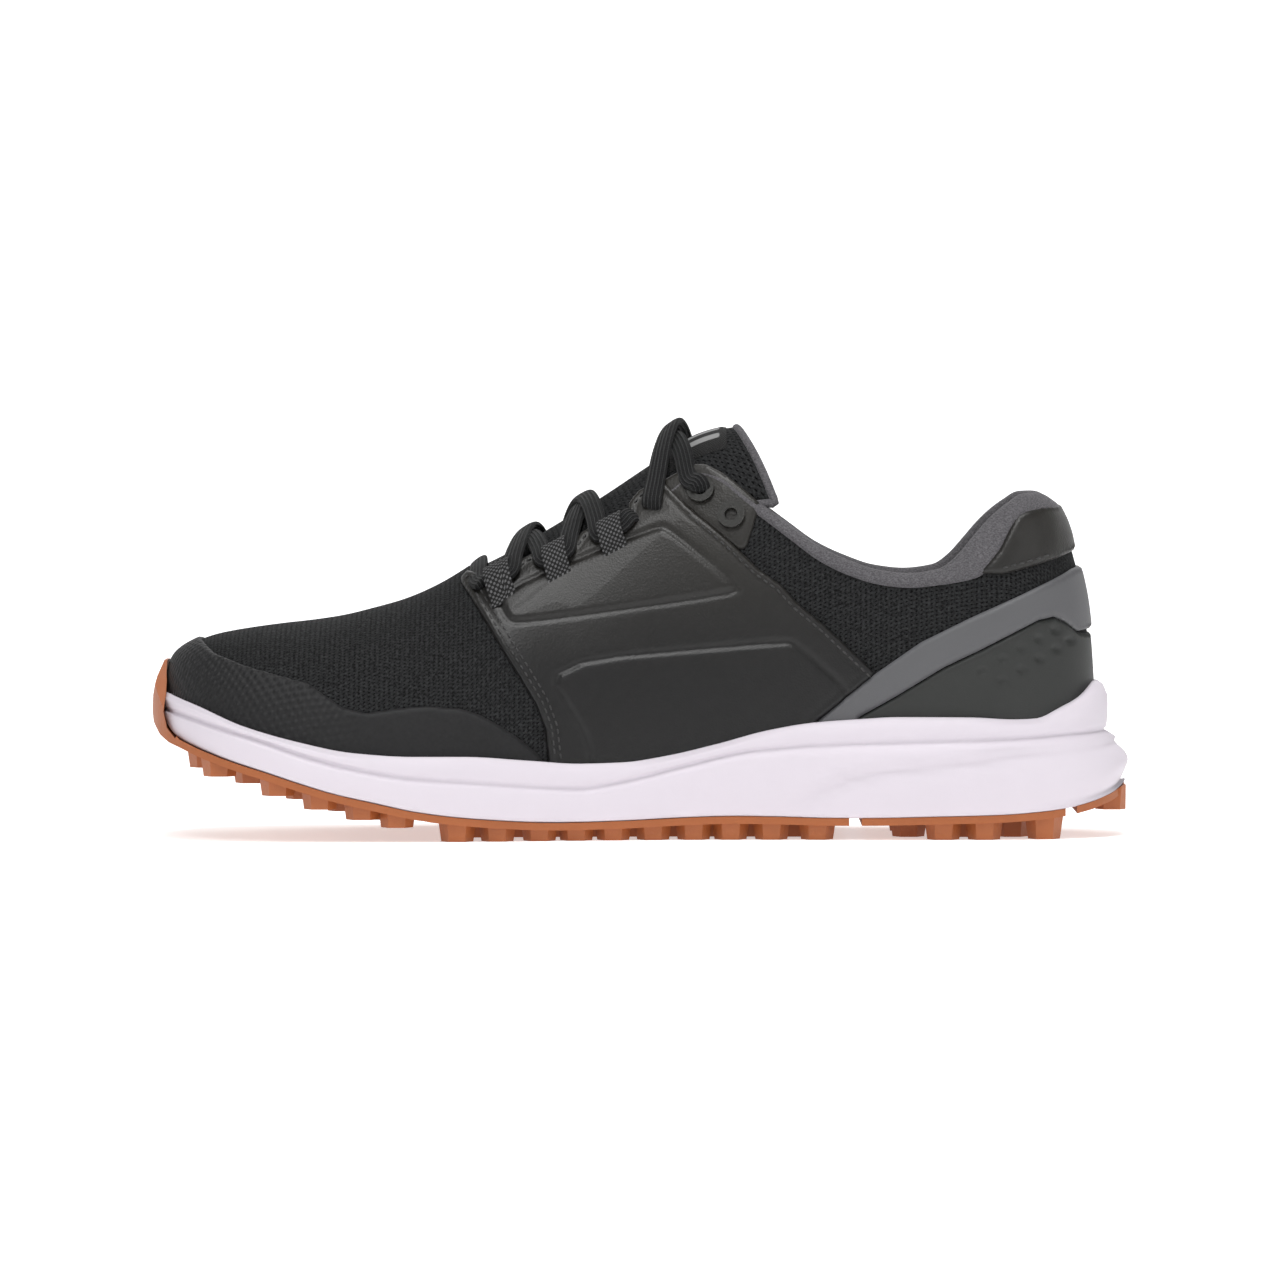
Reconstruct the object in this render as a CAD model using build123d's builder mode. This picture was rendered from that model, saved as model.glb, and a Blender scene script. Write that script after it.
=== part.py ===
from build123d import *
import math
import os

# Right golf shoe, spikeless, laced, about a men's US 9 / EU 42.5.
# Frame: millimetres, +Z up, toe towards -X, medial side towards -Y.
# The origin is on the ground, half way along the shoe.
# "Depth" is measured inwards from the outside of the mesh; negative depths are outside it.

# ---------------------------------------------------------------- driving dimensions
TOE_X, HEEL_X = -145.5, 139.0   # ends of the upper
FORE_X, FORE_HALF = -83.5, 47.2    # where the toe rounding starts, and the half width there
REAR_X, REAR_HALF = 104, 33.5      # where the heel rounding starts, and the half width there
PLATE = 2.4               # outsole plate thickness
FLEX_X = -65.0            # forefoot flex line, where the sole is parted
MESH = 1.2                # mesh layer thickness
OVERLAY = 1.3             # synthetic leather and film thickness
GAP = 0.1                 # clearance between neighbouring layers
VAMP_END_X = -20          # joint between vamp mesh and quarter mesh
LINING_X = 36.0           # joint between vamp lining and collar lining

# Heights above the bed
BOARD_TOP = 1.46
INSIDE_BASE = BOARD_TOP + GAP   # foot of the linings and the insole
INSOLE_FOAM_TOP = 5.6
TOPCLOTH_TOP = 6.5

# Depths of the inside layers, outer face and inner face
STIFFENER = (MESH + GAP, MESH + 0.9)
LINING = (MESH + 1.0, MESH + 1.6)
COLLAR_PAD = (MESH + 1.7, MESH + 4.2)
COLLAR_KNIT = (MESH + 4.3, MESH + 4.9)
FOOTBED = MESH + 5.0

EYELET_R = 2.0
EYELETS = [(18.8, 106.2), (27.9, 98.7)]     # (x, z)
LACE_HOLE = (3.6, 101.2)                    # (x, z)
LACE_R = 1.25             # shoelace, drawn as round lengths between the loops

os.makedirs("parts", exist_ok=True)


# ---------------------------------------------------------------- shape tables
def table(points):
    """Monotone cubic curve through the points, held level beyond its ends."""
    xs = [point[0] for point in points]
    values = [point[1] for point in points]
    spans = range(len(xs) - 1)
    slopes = [(values[i + 1] - values[i]) / (xs[i + 1] - xs[i]) for i in spans]
    tangents = [slopes[0]]
    for before, after in zip(slopes, slopes[1:]):
        turning = before * after <= 0
        tangents.append(0.0 if turning else 2 * before * after / (before + after))
    tangents.append(slopes[-1])

    def value_at(x):
        if x <= xs[0]:
            return values[0]
        if x >= xs[-1]:
            return values[-1]
        i = max(k for k in spans if xs[k] <= x)
        width = xs[i + 1] - xs[i]
        t = (x - xs[i]) / width
        return ((2 * t**3 - 3 * t**2 + 1) * values[i]
                + (t**3 - 2 * t**2 + t) * width * tangents[i]
                + (-2 * t**3 + 3 * t**2) * values[i + 1]
                + (t**3 - t**2) * width * tangents[i + 1])

    return value_at


# Each table below is (x, value); the names ending in _z give heights.
# Underside of the lasting board
bed_z = table([
    (-146, 39), (-135, 35.4), (-121, 31), (-104.5, 26.5), (-88, 21.6), (-70, 18), (-53, 16.8),
    (-34, 17), (-19, 17.6), (7, 19.8), (24, 21.6), (38, 23.6), (53, 25.2), (79, 26.6),
    (100, 27), (140, 28)])
# Ridge of the closed body; behind the throat it is virtual, cut away by the topline
ridge_z = table([
    (-145.5, 45), (-145.1, 49), (-144.4, 53), (-142.5, 56.2), (-138.5, 59), (-132.7, 61.5),
    (-128, 62.7), (-119, 64.2), (-109.8, 65.4), (-100.7, 66.4), (-91.6, 67.8), (-82.5, 70),
    (-73.3, 72.6), (-64.2, 76.4), (-54.8, 81.8), (-41.4, 91.5), (-30.7, 98.2), (-12.5, 108.8),
    (2.7, 119.4), (18, 129), (27, 132), (45, 133.5), (75, 133.5), (100, 129), (112, 125),
    (120, 118), (125, 110), (128, 102), (131, 94), (134, 84), (136.5, 73), (138, 60), (139, 46)])
# Centre line in plan
mid_y = table([
    (-146, -9), (-131, -7.5), (-121, -6.3), (-106, -4.3), (-85, -1.6), (-65, 0.6), (-45, 2.6),
    (-20, 4.2), (5, 4.2), (30, 3.2), (60, 1.6), (90, 0.6), (104, 0.3), (140, 0)])
# Half width between the toe and heel roundings
waist_half = table([
    (FORE_X, FORE_HALF), (-65, 48), (-45, 47), (-20, 43.3), (5, 39.3), (30, 36.3), (60, 34.5),
    (90, 34), (REAR_X, REAR_HALF)])
# Superellipse exponent of the cross-section
section_power = table([
    (-146, 2.4), (-100, 2.25), (-70, 2.05), (-50, 1.9), (-20, 1.85), (10, 1.85), (30, 2.05),
    (60, 2.4), (100, 2.6), (140, 2.8)])
# Top edge of the midsole wall
rim_z = table([
    (-145.4, 44.7), (-135, 41.1), (-121.5, 35.5), (-104.5, 30.7), (-87.6, 27.3), (-70.6, 26.1),
    (-53.6, 26), (-34.5, 24.7), (-19, 23.6), (-5.5, 23.9), (7.2, 25.7), (23.7, 29.5),
    (38.2, 33.4), (52.8, 35.9), (67.4, 37), (78.8, 37.6), (100.4, 37.5), (114.4, 36.8),
    (120.6, 37), (128.5, 40.3), (134.2, 43.2), (139, 47.7)])
# Step between the wider lower wall and the upper wall of the midsole
groove_z = table([
    (-146, 39.6), (-141.9, 38.9), (-128.3, 34.8), (-114.7, 30.7), (-101.1, 26), (-87.6, 22.5),
    (-70.6, 19.5), (-57, 18.5), (-29.7, 16.5), (-19, 16), (-5.5, 18), (14, 22.8), (33.4, 27.1),
    (57.7, 29.1), (78.8, 29.8), (111.7, 30.8), (134.2, 32.2), (146, 32.8)])
# Joint between midsole and outsole
sole_z = table([
    (-146, 38), (-144.6, 34.1), (-141.9, 31.4), (-135.1, 28.3), (-124.9, 24.6), (-114.7, 21.5),
    (-104.5, 18.2), (-94.4, 15.1), (-80.8, 11.9), (-67.2, 9.0), (-49, 6.9), (-24.9, 5.7),
    (-5.5, 6.1), (14, 7.0), (28.5, 7.4), (43.1, 7.2), (58.6, 6.8), (67.8, 6.8), (89.1, 7.2),
    (111.7, 7.8), (122.9, 8.6), (129, 9.3), (136.9, 10.9), (145.4, 13.9), (150.5, 17.5)])


def rounded_end(x, start, end, half, exponent):
    """Half width at x where an outline closes from half at start to nothing at end."""
    t = min(1.0, (x - start) / (end - start))
    return half * (1 - t**exponent) ** (1 / exponent)


def upper_half(x):
    """Half width of the upper at the feather line."""
    if x < FORE_X:
        return max(1.5, rounded_end(x, FORE_X, TOE_X, FORE_HALF, 2.3))
    if x > REAR_X:
        return max(1.5, rounded_end(x, REAR_X, HEEL_X, REAR_HALF, 2.2))
    return waist_half(x)


# Sole outlines: (toe x, heel x, overhang of the forefoot, overhang of the heel)
LOWER_WALL = (-146.6, 150.3, 4.4, 6.2)
UPPER_WALL = (-146.2, 144.4, 3.6, 4.8)
TREAD = (-150.4, 149.3, 3.6, 5.0)


def sole_half(x, toe, heel, fore_over, heel_over):
    """Half width of a sole outline that stands the given amounts over the upper."""
    if x < -84:
        return rounded_end(x, -84, toe, FORE_HALF + fore_over, 2.3)
    if x > 92:
        return rounded_end(x, 92, heel, 34 + heel_over, 2.35)
    blend = max(0.0, min(1.0, (x + 20) / 112))
    return (waist_half(x) + fore_over
            + (heel_over - fore_over) * blend * blend * (3 - 2 * blend))


def sole_outline(shape):
    """Points round a sole outline, closest together at the toe and heel."""
    toe, heel = shape[:2]
    count = 26
    xs = [(toe + heel) / 2 - (heel - toe) / 2 * math.cos(math.pi * i / count)
          for i in range(count + 1)]
    medial = [(x, mid_y(x) - sole_half(x, *shape)) for x in xs]
    lateral = [(x, mid_y(x) + sole_half(x, *shape)) for x in xs]
    return medial + lateral[-2:0:-1]


# ---------------------------------------------------------------- solids that pieces are cut from
STATIONS = [-145.3, -144.2, -142, -138, -129, -114, -94, -70, -44, -15, 16, 50, 82, 104, 118,
            127, 133, 136.6, 138.5]     # x of the lofted sections


def section(x, depth):
    """Arch of the closed body at a depth, as (y, z) from the lateral foot to the medial foot."""
    bed, half, power = bed_z(x), upper_half(x), section_power(x)
    inner_half = half * (1 - depth / max(half, 26.0))
    inner_height = ridge_z(x) - bed - depth
    points = []
    for k in range(15):
        angle = math.pi * k / 14
        cosine, sine = math.cos(angle), math.sin(angle)
        y = mid_y(x) + inner_half * math.copysign(abs(cosine) ** (2 / power), cosine)
        z = bed + inner_height * max(sine, 0.0) ** (2 / power)
        points.append((y, z))
    return points


def body(depth, drop, stations=STATIONS):
    """The closed body, offset inwards by depth, with its floor lowered by drop."""
    middle = (TOE_X + HEEL_X) / 2
    reach = (HEEL_X - TOE_X) / 2
    with BuildPart() as made:
        for x in stations:
            points = section(x, depth)
            floor = bed_z(x) - drop
            place = middle + (x - middle) * (reach - depth) / reach
            with BuildSketch(Plane(origin=(place, 0, 0), x_dir=(0, 1, 0), z_dir=(1, 0, 0))):
                with BuildLine():
                    Spline(*points)
                    if drop > 0:
                        Polyline(points[-1], (points[-1][0], floor), (points[0][0], floor),
                                 points[0])
                    else:
                        Line(points[-1], points[0])
                make_face()
        loft(ruled=True)
    return made.part


def prism(points, y0=-80, y1=80):
    """A side-view region, in X and Z, run across the shoe from y0 to y1."""
    with BuildPart() as made:
        with BuildSketch(Plane.XZ.offset(-y1)):
            with BuildLine():
                Polyline(*points, close=True)
            make_face()
        extrude(amount=y1 - y0)
    return made.part


NUDGES = ((0, 0, 0), (0.004, 0.003, -0.005), (-0.006, 0.002, 0.007), (0.009, -0.004, 0.003),
          (-0.003, -0.008, -0.004))


def less(base, tool, max_share=None):
    """base without tool, at most max_share of its volume. An unsound cut is tried again
    with the tool nudged by a few microns."""
    limit = base.volume - 1e-3 if max_share is None else max_share * base.volume
    for nudge in NUDGES:
        made = base - Pos(*nudge) * tool
        if (made.is_valid and 0 < made.volume < limit
                and made.bounding_box().size.Y < base.bounding_box().size.Y + 0.05):
            return made
    raise ValueError("unsound cut")


def meet(base, tool):
    """What base and tool share, nudging the tool when the result comes out unsound."""
    for nudge in NUDGES:
        made = base & Pos(*nudge) * tool
        if not hasattr(made, "volume"):
            continue
        size, limit = made.bounding_box().size, base.bounding_box().size
        if (made.is_valid and 0 < made.volume <= min(base.volume, tool.volume) + 1e-3
                and size.Y < limit.Y + 0.05 and size.Z < limit.Z + 0.05):
            return made
    raise ValueError("unsound overlap")


def save(name, *shapes, cuts=()):
    """Join the shapes in turn, take out the cuts and write the piece."""
    with BuildPart() as made:
        for shape in shapes:
            add(shape)
        for tool in cuts:
            add(tool, mode=Mode.SUBTRACT)
    made.part.label = name
    export_step(made.part, f"parts/{name}.step")


# ---------------------------------------------------------------- side-view regions, (x, z)
THROAT = [(-54.8, 78.6), (-50, 80), (-42.9, 82.5), (-24.6, 88.6), (-6.4, 97.1), (7.9, 107)]
COLLAR_TOP = [
    (18, 113), (24.6, 111.4), (30.7, 106.8), (39.9, 100.1), (45.3, 96.1), (54.5, 89.5),
    (63.6, 85.2), (72.7, 82.2), (81.8, 81.2), (91, 82.4), (95.5, 85.4), (100.1, 90.5),
    (104.7, 95.9), (109.2, 99.9), (113.8, 103), (118.4, 105.4), (123, 105.6), (127, 102.5),
    (150, 98)]
# Lower line, where the mesh and the padding stop under the collar band
COLLAR_UNDER = [
    (18, 110.8), (24.6, 108.6), (30.7, 103.7), (39.9, 96.9), (45.3, 92.8), (54.5, 86),
    (63.6, 81.6), (72.7, 78.8), (81.8, 77.8), (91, 78.6), (97, 79.5), (103.7, 81.3),
    (109.8, 88.8), (114.1, 97), (117.7, 99.6), (126.3, 100.2), (150, 96)]
TOPLINE = THROAT + COLLAR_TOP
INNER_TOP = THROAT + COLLAR_UNDER
COLLAR_BAND = COLLAR_TOP + [(x, z + 0.1) for x, z in COLLAR_UNDER[::-1]]

SADDLE = [
    (-54.8, 60), (-54.8, 85), (7.9, 120), (7.9, 107.4), (18.5, 100), (26.2, 92), (47.5, 71.6),
    (72, 51), (53.2, 36.9), (53.2, 10), (-28.3, 10), (-28.3, 24.2), (-29.3, 34), (-31.8, 41),
    (-36.7, 49.4), (-41.6, 57), (-47.2, 66.1), (-52.1, 73.8)]
EYESTAY = [(8.1, 107.6), (8.1, 125), (20, 125), (27, 108.2), (32.5, 103.2), (36, 100.8),
           (32.4, 90), (26.6, 92), (18.8, 100.4)]
VAMP = [(-160, 0), (-160, 150), (VAMP_END_X, 150), (VAMP_END_X, 0)]
QUARTER = [(VAMP_END_X + GAP, 0), (VAMP_END_X + GAP, 150), (160, 150), (160, 0)]
TOE_OVERLAY = [
    (-160, 10), (-160, 66), (-134.4, 66), (-134.4, 59.9), (-130.3, 56.5), (-121.5, 53.1),
    (-111.4, 50.4), (-101.1, 47.7), (-96.4, 44.3), (-91, 40.9), (-84.2, 38.9), (-74, 40.2),
    (-65.2, 41.1), (-55.1, 40.3), (-48.9, 38.2), (-42.8, 35), (-36.7, 30.9), (-31.8, 26.8),
    (-29, 23.5), (-29, 10)]
HEEL_TAB = [
    (103.7, 81.3), (107, 85), (109.8, 89), (112, 94), (114.1, 98.2), (117.7, 101),
    (126.3, 101.9), (140, 102.2), (140, 87.6), (132.7, 87.8), (121.3, 83.8), (110.4, 81)]
HEEL_BAND = [
    (53.8, 36), (71.7, 50.4), (85.4, 60.2), (99.7, 67.3), (114.1, 73.8), (128.5, 80.2),
    (142, 84), (142, 62.3), (133.5, 63), (129.9, 65.9), (126.3, 67.7), (121.3, 66.6),
    (114.1, 63), (104.7, 58), (92.6, 52.2), (78.2, 43.6), (66.7, 37.2), (66, 20), (53.8, 20)]
HEEL_PANEL = [
    (66.9, 36.9), (78.4, 43.3), (92.8, 51.9), (104.9, 57.7), (114.3, 62.7), (121.4, 66.3),
    (126.2, 67.4), (129.8, 65.6), (133.4, 62.7), (142, 62), (142, 20), (66.3, 20)]
TONGUE = [(-53, 74), (-53, 150), (29, 150), (29, 126), (31, 119), (40, 103), (40, 98), (22, 90),
          (0, 76), (-20, 66), (-40, 60), (-53, 60)]
TONGUE_LABEL = [(20.5, 90), (20.5, 150), (28.5, 150), (28.5, 90)]
FLOOR_XS = (-150, -140, -128, -115, -100, -88, -78, -68, -56, -44, -30, -16, 0, 14, 28, 42, 58,
            76, 100, 125, 150)


def over_floor(height):
    """The bed line, raised."""
    return [(x, bed_z(x) + height) for x in FLOOR_XS]


def below(line, rear_z):
    """Everything in front of and under a top line."""
    return [(-160, 0), (160, 0), (160, rear_z)] + line[::-1] + [(-54.8, 150), (-160, 150)]


def floor_layer(bottom, top):
    """The space between two heights above the bed."""
    return prism(over_floor(bottom) + over_floor(top)[::-1])


# ---------------------------------------------------------------- points on the upper
def skin(x, z, side, off=0.0):
    """Point on the upper at x, z, moved off along the outward normal, and that normal.
    side is -1 medial or +1 lateral."""
    def y_at(at_x, at_z):
        bed, power = bed_z(at_x), section_power(at_x)
        rise = max(0.0, min(1.0, (at_z - bed) / (ridge_z(at_x) - bed))) ** (power / 2)
        spread = max(0.0, 1 - rise * rise) ** (1 / power)
        return mid_y(at_x) + side * upper_half(at_x) * spread

    step = 0.5
    slope_x = (y_at(x + step, z) - y_at(x - step, z)) / (2 * step)
    slope_z = (y_at(x, z + step) - y_at(x, z - step)) / (2 * step)
    normal = (Vector(-slope_x, 1, -slope_z) * side).normalized()
    return Vector(x, y_at(x, z), z) + normal * off, normal


def drum(x, z, side, radius, near=-7, far=6):
    """A round bar along the normal of the upper, from near to far outside the surface."""
    start, normal = skin(x, z, side, near)
    with BuildPart() as made:
        with BuildSketch(Plane(origin=start, z_dir=normal)):
            Circle(radius)
        extrude(amount=far - near)
    return made.part


# ---------------------------------------------------------------- shared shells and cutters
# A drop of 12 takes an inner body well through the floor, which leaves the shell open below.
OPEN_DROP = 12
SHELL_SHARE = 0.12        # a sound thin shell keeps less than this share of its body

mesh_out = body(0, 0)
line_in = body(LINING[1], OPEN_DROP)
knit_in = body(COLLAR_KNIT[1], OPEN_DROP)
overlay_shell = less(body(-OVERLAY - GAP, 0), body(-GAP, OPEN_DROP), SHELL_SHARE)
mesh_shell = less(mesh_out, body(MESH, OPEN_DROP), SHELL_SHARE)
stiff_shell = less(body(STIFFENER[0], 3), body(STIFFENER[1], OPEN_DROP), SHELL_SHARE)
cup = body(-OVERLAY - 2 * GAP, 0.1)     # the seat of the upper in the sole

below_inner = prism(below(INNER_TOP, 96))
below_topline = prism(below(TOPLINE, 98))
collar_band = prism(COLLAR_BAND)
board_line = over_floor(INSIDE_BASE)

SIDES = {"medial": -1, "lateral": 1}
halves = {side: Pos(0, side * 60.05, 75) * Box(400, 120, 260) for side in SIDES.values()}
punches = {side: [drum(x, z, side, EYELET_R + 0.5) for x, z in EYELETS]
           for side in SIDES.values()}
lace_holes = {side: drum(*LACE_HOLE, side, EYELET_R) for side in SIDES.values()}


# ---------------------------------------------------------------- upper: mesh and overlays
save("vamp_mesh", meet(meet(mesh_shell, prism(VAMP)), below_inner))

quarter = meet(meet(mesh_shell, prism(QUARTER)), below_inner)
saddle = meet(meet(overlay_shell, prism(SADDLE)), below_topline)
patch = meet(meet(overlay_shell, prism(EYESTAY)), below_inner)
for side_name, side in SIDES.items():
    save(f"quarter_mesh_{side_name}", meet(quarter, halves[side]),
         cuts=punches[side] + [lace_holes[side]])
    save(f"saddle_{side_name}", meet(saddle, halves[side]), cuts=[lace_holes[side]])
    save(f"eyestay_patch_{side_name}", meet(patch, halves[side]), cuts=punches[side])

save("toe_overlay", meet(overlay_shell, prism(TOE_OVERLAY)))
save("heel_tab", meet(overlay_shell, prism(HEEL_TAB)))
save("heel_band", meet(overlay_shell, prism(HEEL_BAND)))

# Two rows of blind dimples on each side of the heel panel, (x, z)
DIMPLES = [(104.4, 51.4), (110.4, 55.1), (116.2, 58.4), (121.4, 61.2), (126.3, 63.7),
           (110.4, 48.4), (116.2, 51.7), (121.7, 55.1), (126.6, 58.1), (130.8, 60.5)]
DIMPLE_R = 1.3
DIMPLE_FLOOR = 0.7        # outside the mesh
save("heel_panel", meet(overlay_shell, prism(HEEL_PANEL)),
     cuts=[drum(x, z, side, DIMPLE_R, DIMPLE_FLOOR, 4)
           for side in SIDES.values() for x, z in DIMPLES])

# ---------------------------------------------------------------- upper: inside
PUFF_X = -112             # rear edge of the toe puff at the floor
PUFF_REGION = ([point for point in board_line if point[0] < PUFF_X]
               + [(PUFF_X, bed_z(PUFF_X) + INSIDE_BASE), (-116, 90), (-160, 90)])
save("toe_puff", meet(stiff_shell, prism(PUFF_REGION)))

COUNTER_X = 84            # front edge of the heel counter at the floor
COUNTER_REGION = ([(COUNTER_X, bed_z(COUNTER_X) + 1.6)]
                  + [point for point in board_line if point[0] > COUNTER_X + 4]
                  + [(160, 88), (125, 86), (112, 74), (98, 56)])
save("heel_counter", meet(stiff_shell, prism(COUNTER_REGION)))

FRONT_INSIDE = ([point for point in board_line if point[0] < LINING_X]
                + [(LINING_X, bed_z(LINING_X) + INSIDE_BASE), (LINING_X, 95.5)]
                + [point for point in INNER_TOP[::-1] if point[0] < LINING_X - 4]
                + [(-54.8, 150), (-160, 150)])
line_out = body(LINING[0], 3)
save("vamp_lining", meet(less(line_out, line_in, SHELL_SHARE), prism(FRONT_INSIDE)),
     cuts=[tool for side in SIDES.values() for tool in punches[side] + [lace_holes[side]]])

REAR_INSIDE = ([(LINING_X + GAP, bed_z(LINING_X) + INSIDE_BASE)]
               + [point for point in board_line if point[0] > LINING_X + 1]
               + [(160, 30), (160, 95)]
               + [(x, z + 0.8) for x, z in INNER_TOP[::-1] if x > LINING_X + 1]
               + [(LINING_X + GAP, 99.6)])
rear_half = Pos(110, 0, 75) * Box(147.8, 240, 260)
# The knit, then the band that folds over the collar edge: thin in front, full depth behind
save("collar_lining",
     meet(less(body(COLLAR_KNIT[0], 3), knit_in, SHELL_SHARE), prism(REAR_INSIDE)),
     meet(less(mesh_out, line_in, 0.2), collar_band),
     meet(meet(less(mesh_out, knit_in, 0.4), collar_band), rear_half))

PAD_REGION = ([(x, z - 0.2) for x, z in INNER_TOP if x > LINING_X + 1]
              + [(150, 62), (118, 60), (96, 50), (72, 50), (50, 60), (38, 72)])
save("collar_foam",
     meet(less(body(COLLAR_PAD[0], 3), body(COLLAR_PAD[1], OPEN_DROP), 0.2), prism(PAD_REGION)))

# ---------------------------------------------------------------- lasting board and insole
save("strobel_board", meet(body(MESH + GAP, 0), floor_layer(-1, BOARD_TOP)))

footbed = body(FOOTBED, 3)
save("insole_foam", meet(footbed, floor_layer(INSIDE_BASE, INSOLE_FOAM_TOP)))
save("insole_topcloth", meet(footbed, floor_layer(INSOLE_FOAM_TOP + GAP, TOPCLOTH_TOP)))

# ---------------------------------------------------------------- tongue
# (name, outer depth, inner depth, drop of the outer body)
TONGUE_LAYERS = [("tongue_face", 6.3, 7.1, 3), ("tongue_foam", 7.2, 10.2, 5),
                 ("tongue_lining", 10.3, 10.9, 7)]
tongue_zone = prism(TONGUE, -19, 25)
for name, outer, inner, drop in TONGUE_LAYERS:
    layer = less(body(outer, drop, STATIONS[7:13]), body(inner, drop + 1, STATIONS[7:13]), 0.5)
    save(name, meet(layer, tongue_zone))

label_layer = less(body(5.5, 3, STATIONS[9:12]), body(6.2, 4, STATIONS[9:12]), 0.2)
save("tongue_label", meet(label_layer, prism(TONGUE_LABEL, -7, 13)))


# ---------------------------------------------------------------- midsole
def block(shape, profile):
    """A sole outline run upwards and trimmed to a side-view profile."""
    with BuildPart() as made:
        with BuildSketch():
            with BuildLine():
                Spline(*sole_outline(shape), periodic=True)
            make_face()
        extrude(amount=75)
    return meet(made.part, prism(profile))


SOLE_XS = [-147.5 + 6.5 * i for i in range(47)]


def sole_at(x):
    """Height of the joint between midsole and outsole, straight between shared stations."""
    i = max(k for k in range(len(SOLE_XS) - 1) if SOLE_XS[k] <= x or k == 0)
    front, rear = SOLE_XS[i], SOLE_XS[i + 1]
    return sole_z(front) + (sole_z(rear) - sole_z(front)) * (x - front) / (rear - front)


def sole_line(x0, x1, down):
    """The joint line from x0 to x1, lowered."""
    xs = [x0] + [x for x in SOLE_XS if x0 + 0.5 < x < x1 - 0.5] + [x1]
    return [(x, sole_at(x) - down) for x in xs]


lower_wall = block(LOWER_WALL, [(x, sole_at(x)) for x in SOLE_XS]
                   + [(x, groove_z(x)) for x in SOLE_XS[::-1]])
upper_wall = block(UPPER_WALL, [(x, groove_z(x) - 1) for x in SOLE_XS]
                   + [(x, rim_z(x)) for x in SOLE_XS[::-1]])
wall = lower_wall + upper_wall


def midsole_part(end_x, joint_x):
    """The midsole from beyond one end to the flex joint, hollowed for the upper."""
    zone = prism([(end_x, 0), (joint_x, 0), (joint_x, 90), (end_x, 90)])
    return less(meet(wall, zone), cup)


# Room for the toe bumper of the outsole
bumper_room = prism([(-160, 28), (-141.9, 31.5), (-144.6, 34.2), (-145.9, 38.9), (-145.3, 44.3),
                     (-145.3, 60), (-160, 60)])
forefoot = less(midsole_part(-160, FLEX_X - 0.05), bumper_room)
# The thin crumb left on the rim at the toe is dropped
save("midsole_forefoot", max(forefoot.solids(), key=lambda solid: solid.volume))
save("midsole_rearfoot", midsole_part(160, FLEX_X + 0.05))

# ---------------------------------------------------------------- outsole
# x of the lug rows: pairs along the edges, and pairs nearer the middle between them
EDGE_ROWS = [-138.5, -128.5, -110.5, -97.7, -84.9, -74.3, -56.0, -43.8, -31.0, -19.8, -8.5, 3.7,
             16.1, 27.4, 39.9, 53.9, 72.1, 92.5, 105.0, 123.5, 138.2, 145.0]
INNER_ROWS = [-133.5, -119.5, -104, -91.2, -79.6, -49.9, -37.4, -25.4, -14.1, -2.4, 9.9, 21.8,
              33.6, 46.9, 82.3, 98.7, 114.2]
LAST_ROW_X = 140          # rows behind this stand closer together
LUG_R = 4.9               # across the corners, halved
LUG_TAPER = -7            # degrees, wider towards the plate
EDGE_INSET = 6.4          # edge lug centre from the tread edge

# Toe bumper in side view, (x, z): its back face going down, its outer face going down
BUMPER_BACK = [(-145.6, 54.4), (-145.6, 44.3), (-146.2, 38.9), (-145.0, 34.0), (-142.4, 31.1)]
BUMPER_FACE = [(-146.6, 54.4), (-148.6, 49.5), (-150.0, 43.5), (-150.4, 39), (-149.7, 35.5),
               (-147.4, 32.0), (-144.4, 29.8)]
# Toe bumper seen from the front, (y, z)
BUMPER_FRONT = [(-75, -5), (75, -5), (75, 27), (40, 30), (22, 36), (8, 49), (2, 54.2),
                (-14, 54.2), (-20, 49), (-36, 36), (-54, 30), (-75, 27)]


def bumper_mask():
    """The front view of the bumper, run back along the forefoot."""
    with BuildPart() as made:
        with BuildSketch(Plane.YZ.offset(-160)):
            with BuildLine():
                Polyline(*BUMPER_FRONT, close=True)
            make_face()
        extrude(amount=120)
    return made.part


def lug_spots(x0, x1):
    """The y positions of the lugs in each row between x0 and x1, by x."""
    spots = {}
    for x in EDGE_ROWS:
        if x0 + 5 < x < x1 - 3.5:
            reach = sole_half(x, *TREAD) - EDGE_INSET
            spots[x] = [mid_y(x) - reach, mid_y(x) + reach] if x < LAST_ROW_X else [-9.0, 9.0]
            if x > 130 or x < -120:
                spots[x].append(mid_y(x))
    for x in INNER_ROWS:
        if x0 + 5 < x < x1 - 5:
            reach = 0.4 * sole_half(x, *TREAD)
            spots[x] = [mid_y(x) - reach, mid_y(x) + reach]
    return spots


def lug_foot(x, base):
    """Height of the lug tips: on the ground, or a short lug where the sole curves up."""
    if x > LAST_ROW_X:
        return base - 3.2
    if x > -70:
        return 0.0
    return max(0.0, base - 3.6)


def tread(x0, x1, toe_wrap):
    """One outsole piece: plate and hexagonal lugs between x0 and x1."""
    top = sole_line(x0, x1, GAP)
    under = sole_line(x0, x1, PLATE)
    if toe_wrap:
        top = BUMPER_BACK + top
        under = BUMPER_FACE + under[1:]
    plate = block(TREAD, top + under[::-1])
    if toe_wrap:
        plate = less(meet(plate, bumper_mask()), cup)
    with BuildPart() as lugs:
        for x, ys in lug_spots(x0, x1).items():
            base = sole_z(x) - PLATE
            foot = lug_foot(x, base)
            with BuildSketch(Plane.XY.offset(foot)):
                with Locations(*[(x, y) for y in ys]):
                    RegularPolygon(radius=LUG_R, side_count=6)
            extrude(amount=base - foot + PLATE + 2, taper=LUG_TAPER)
    return plate + meet(lugs.part, prism(sole_line(x0, x1, GAP) + [(x1, -1), (x0, -1)]))


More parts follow.
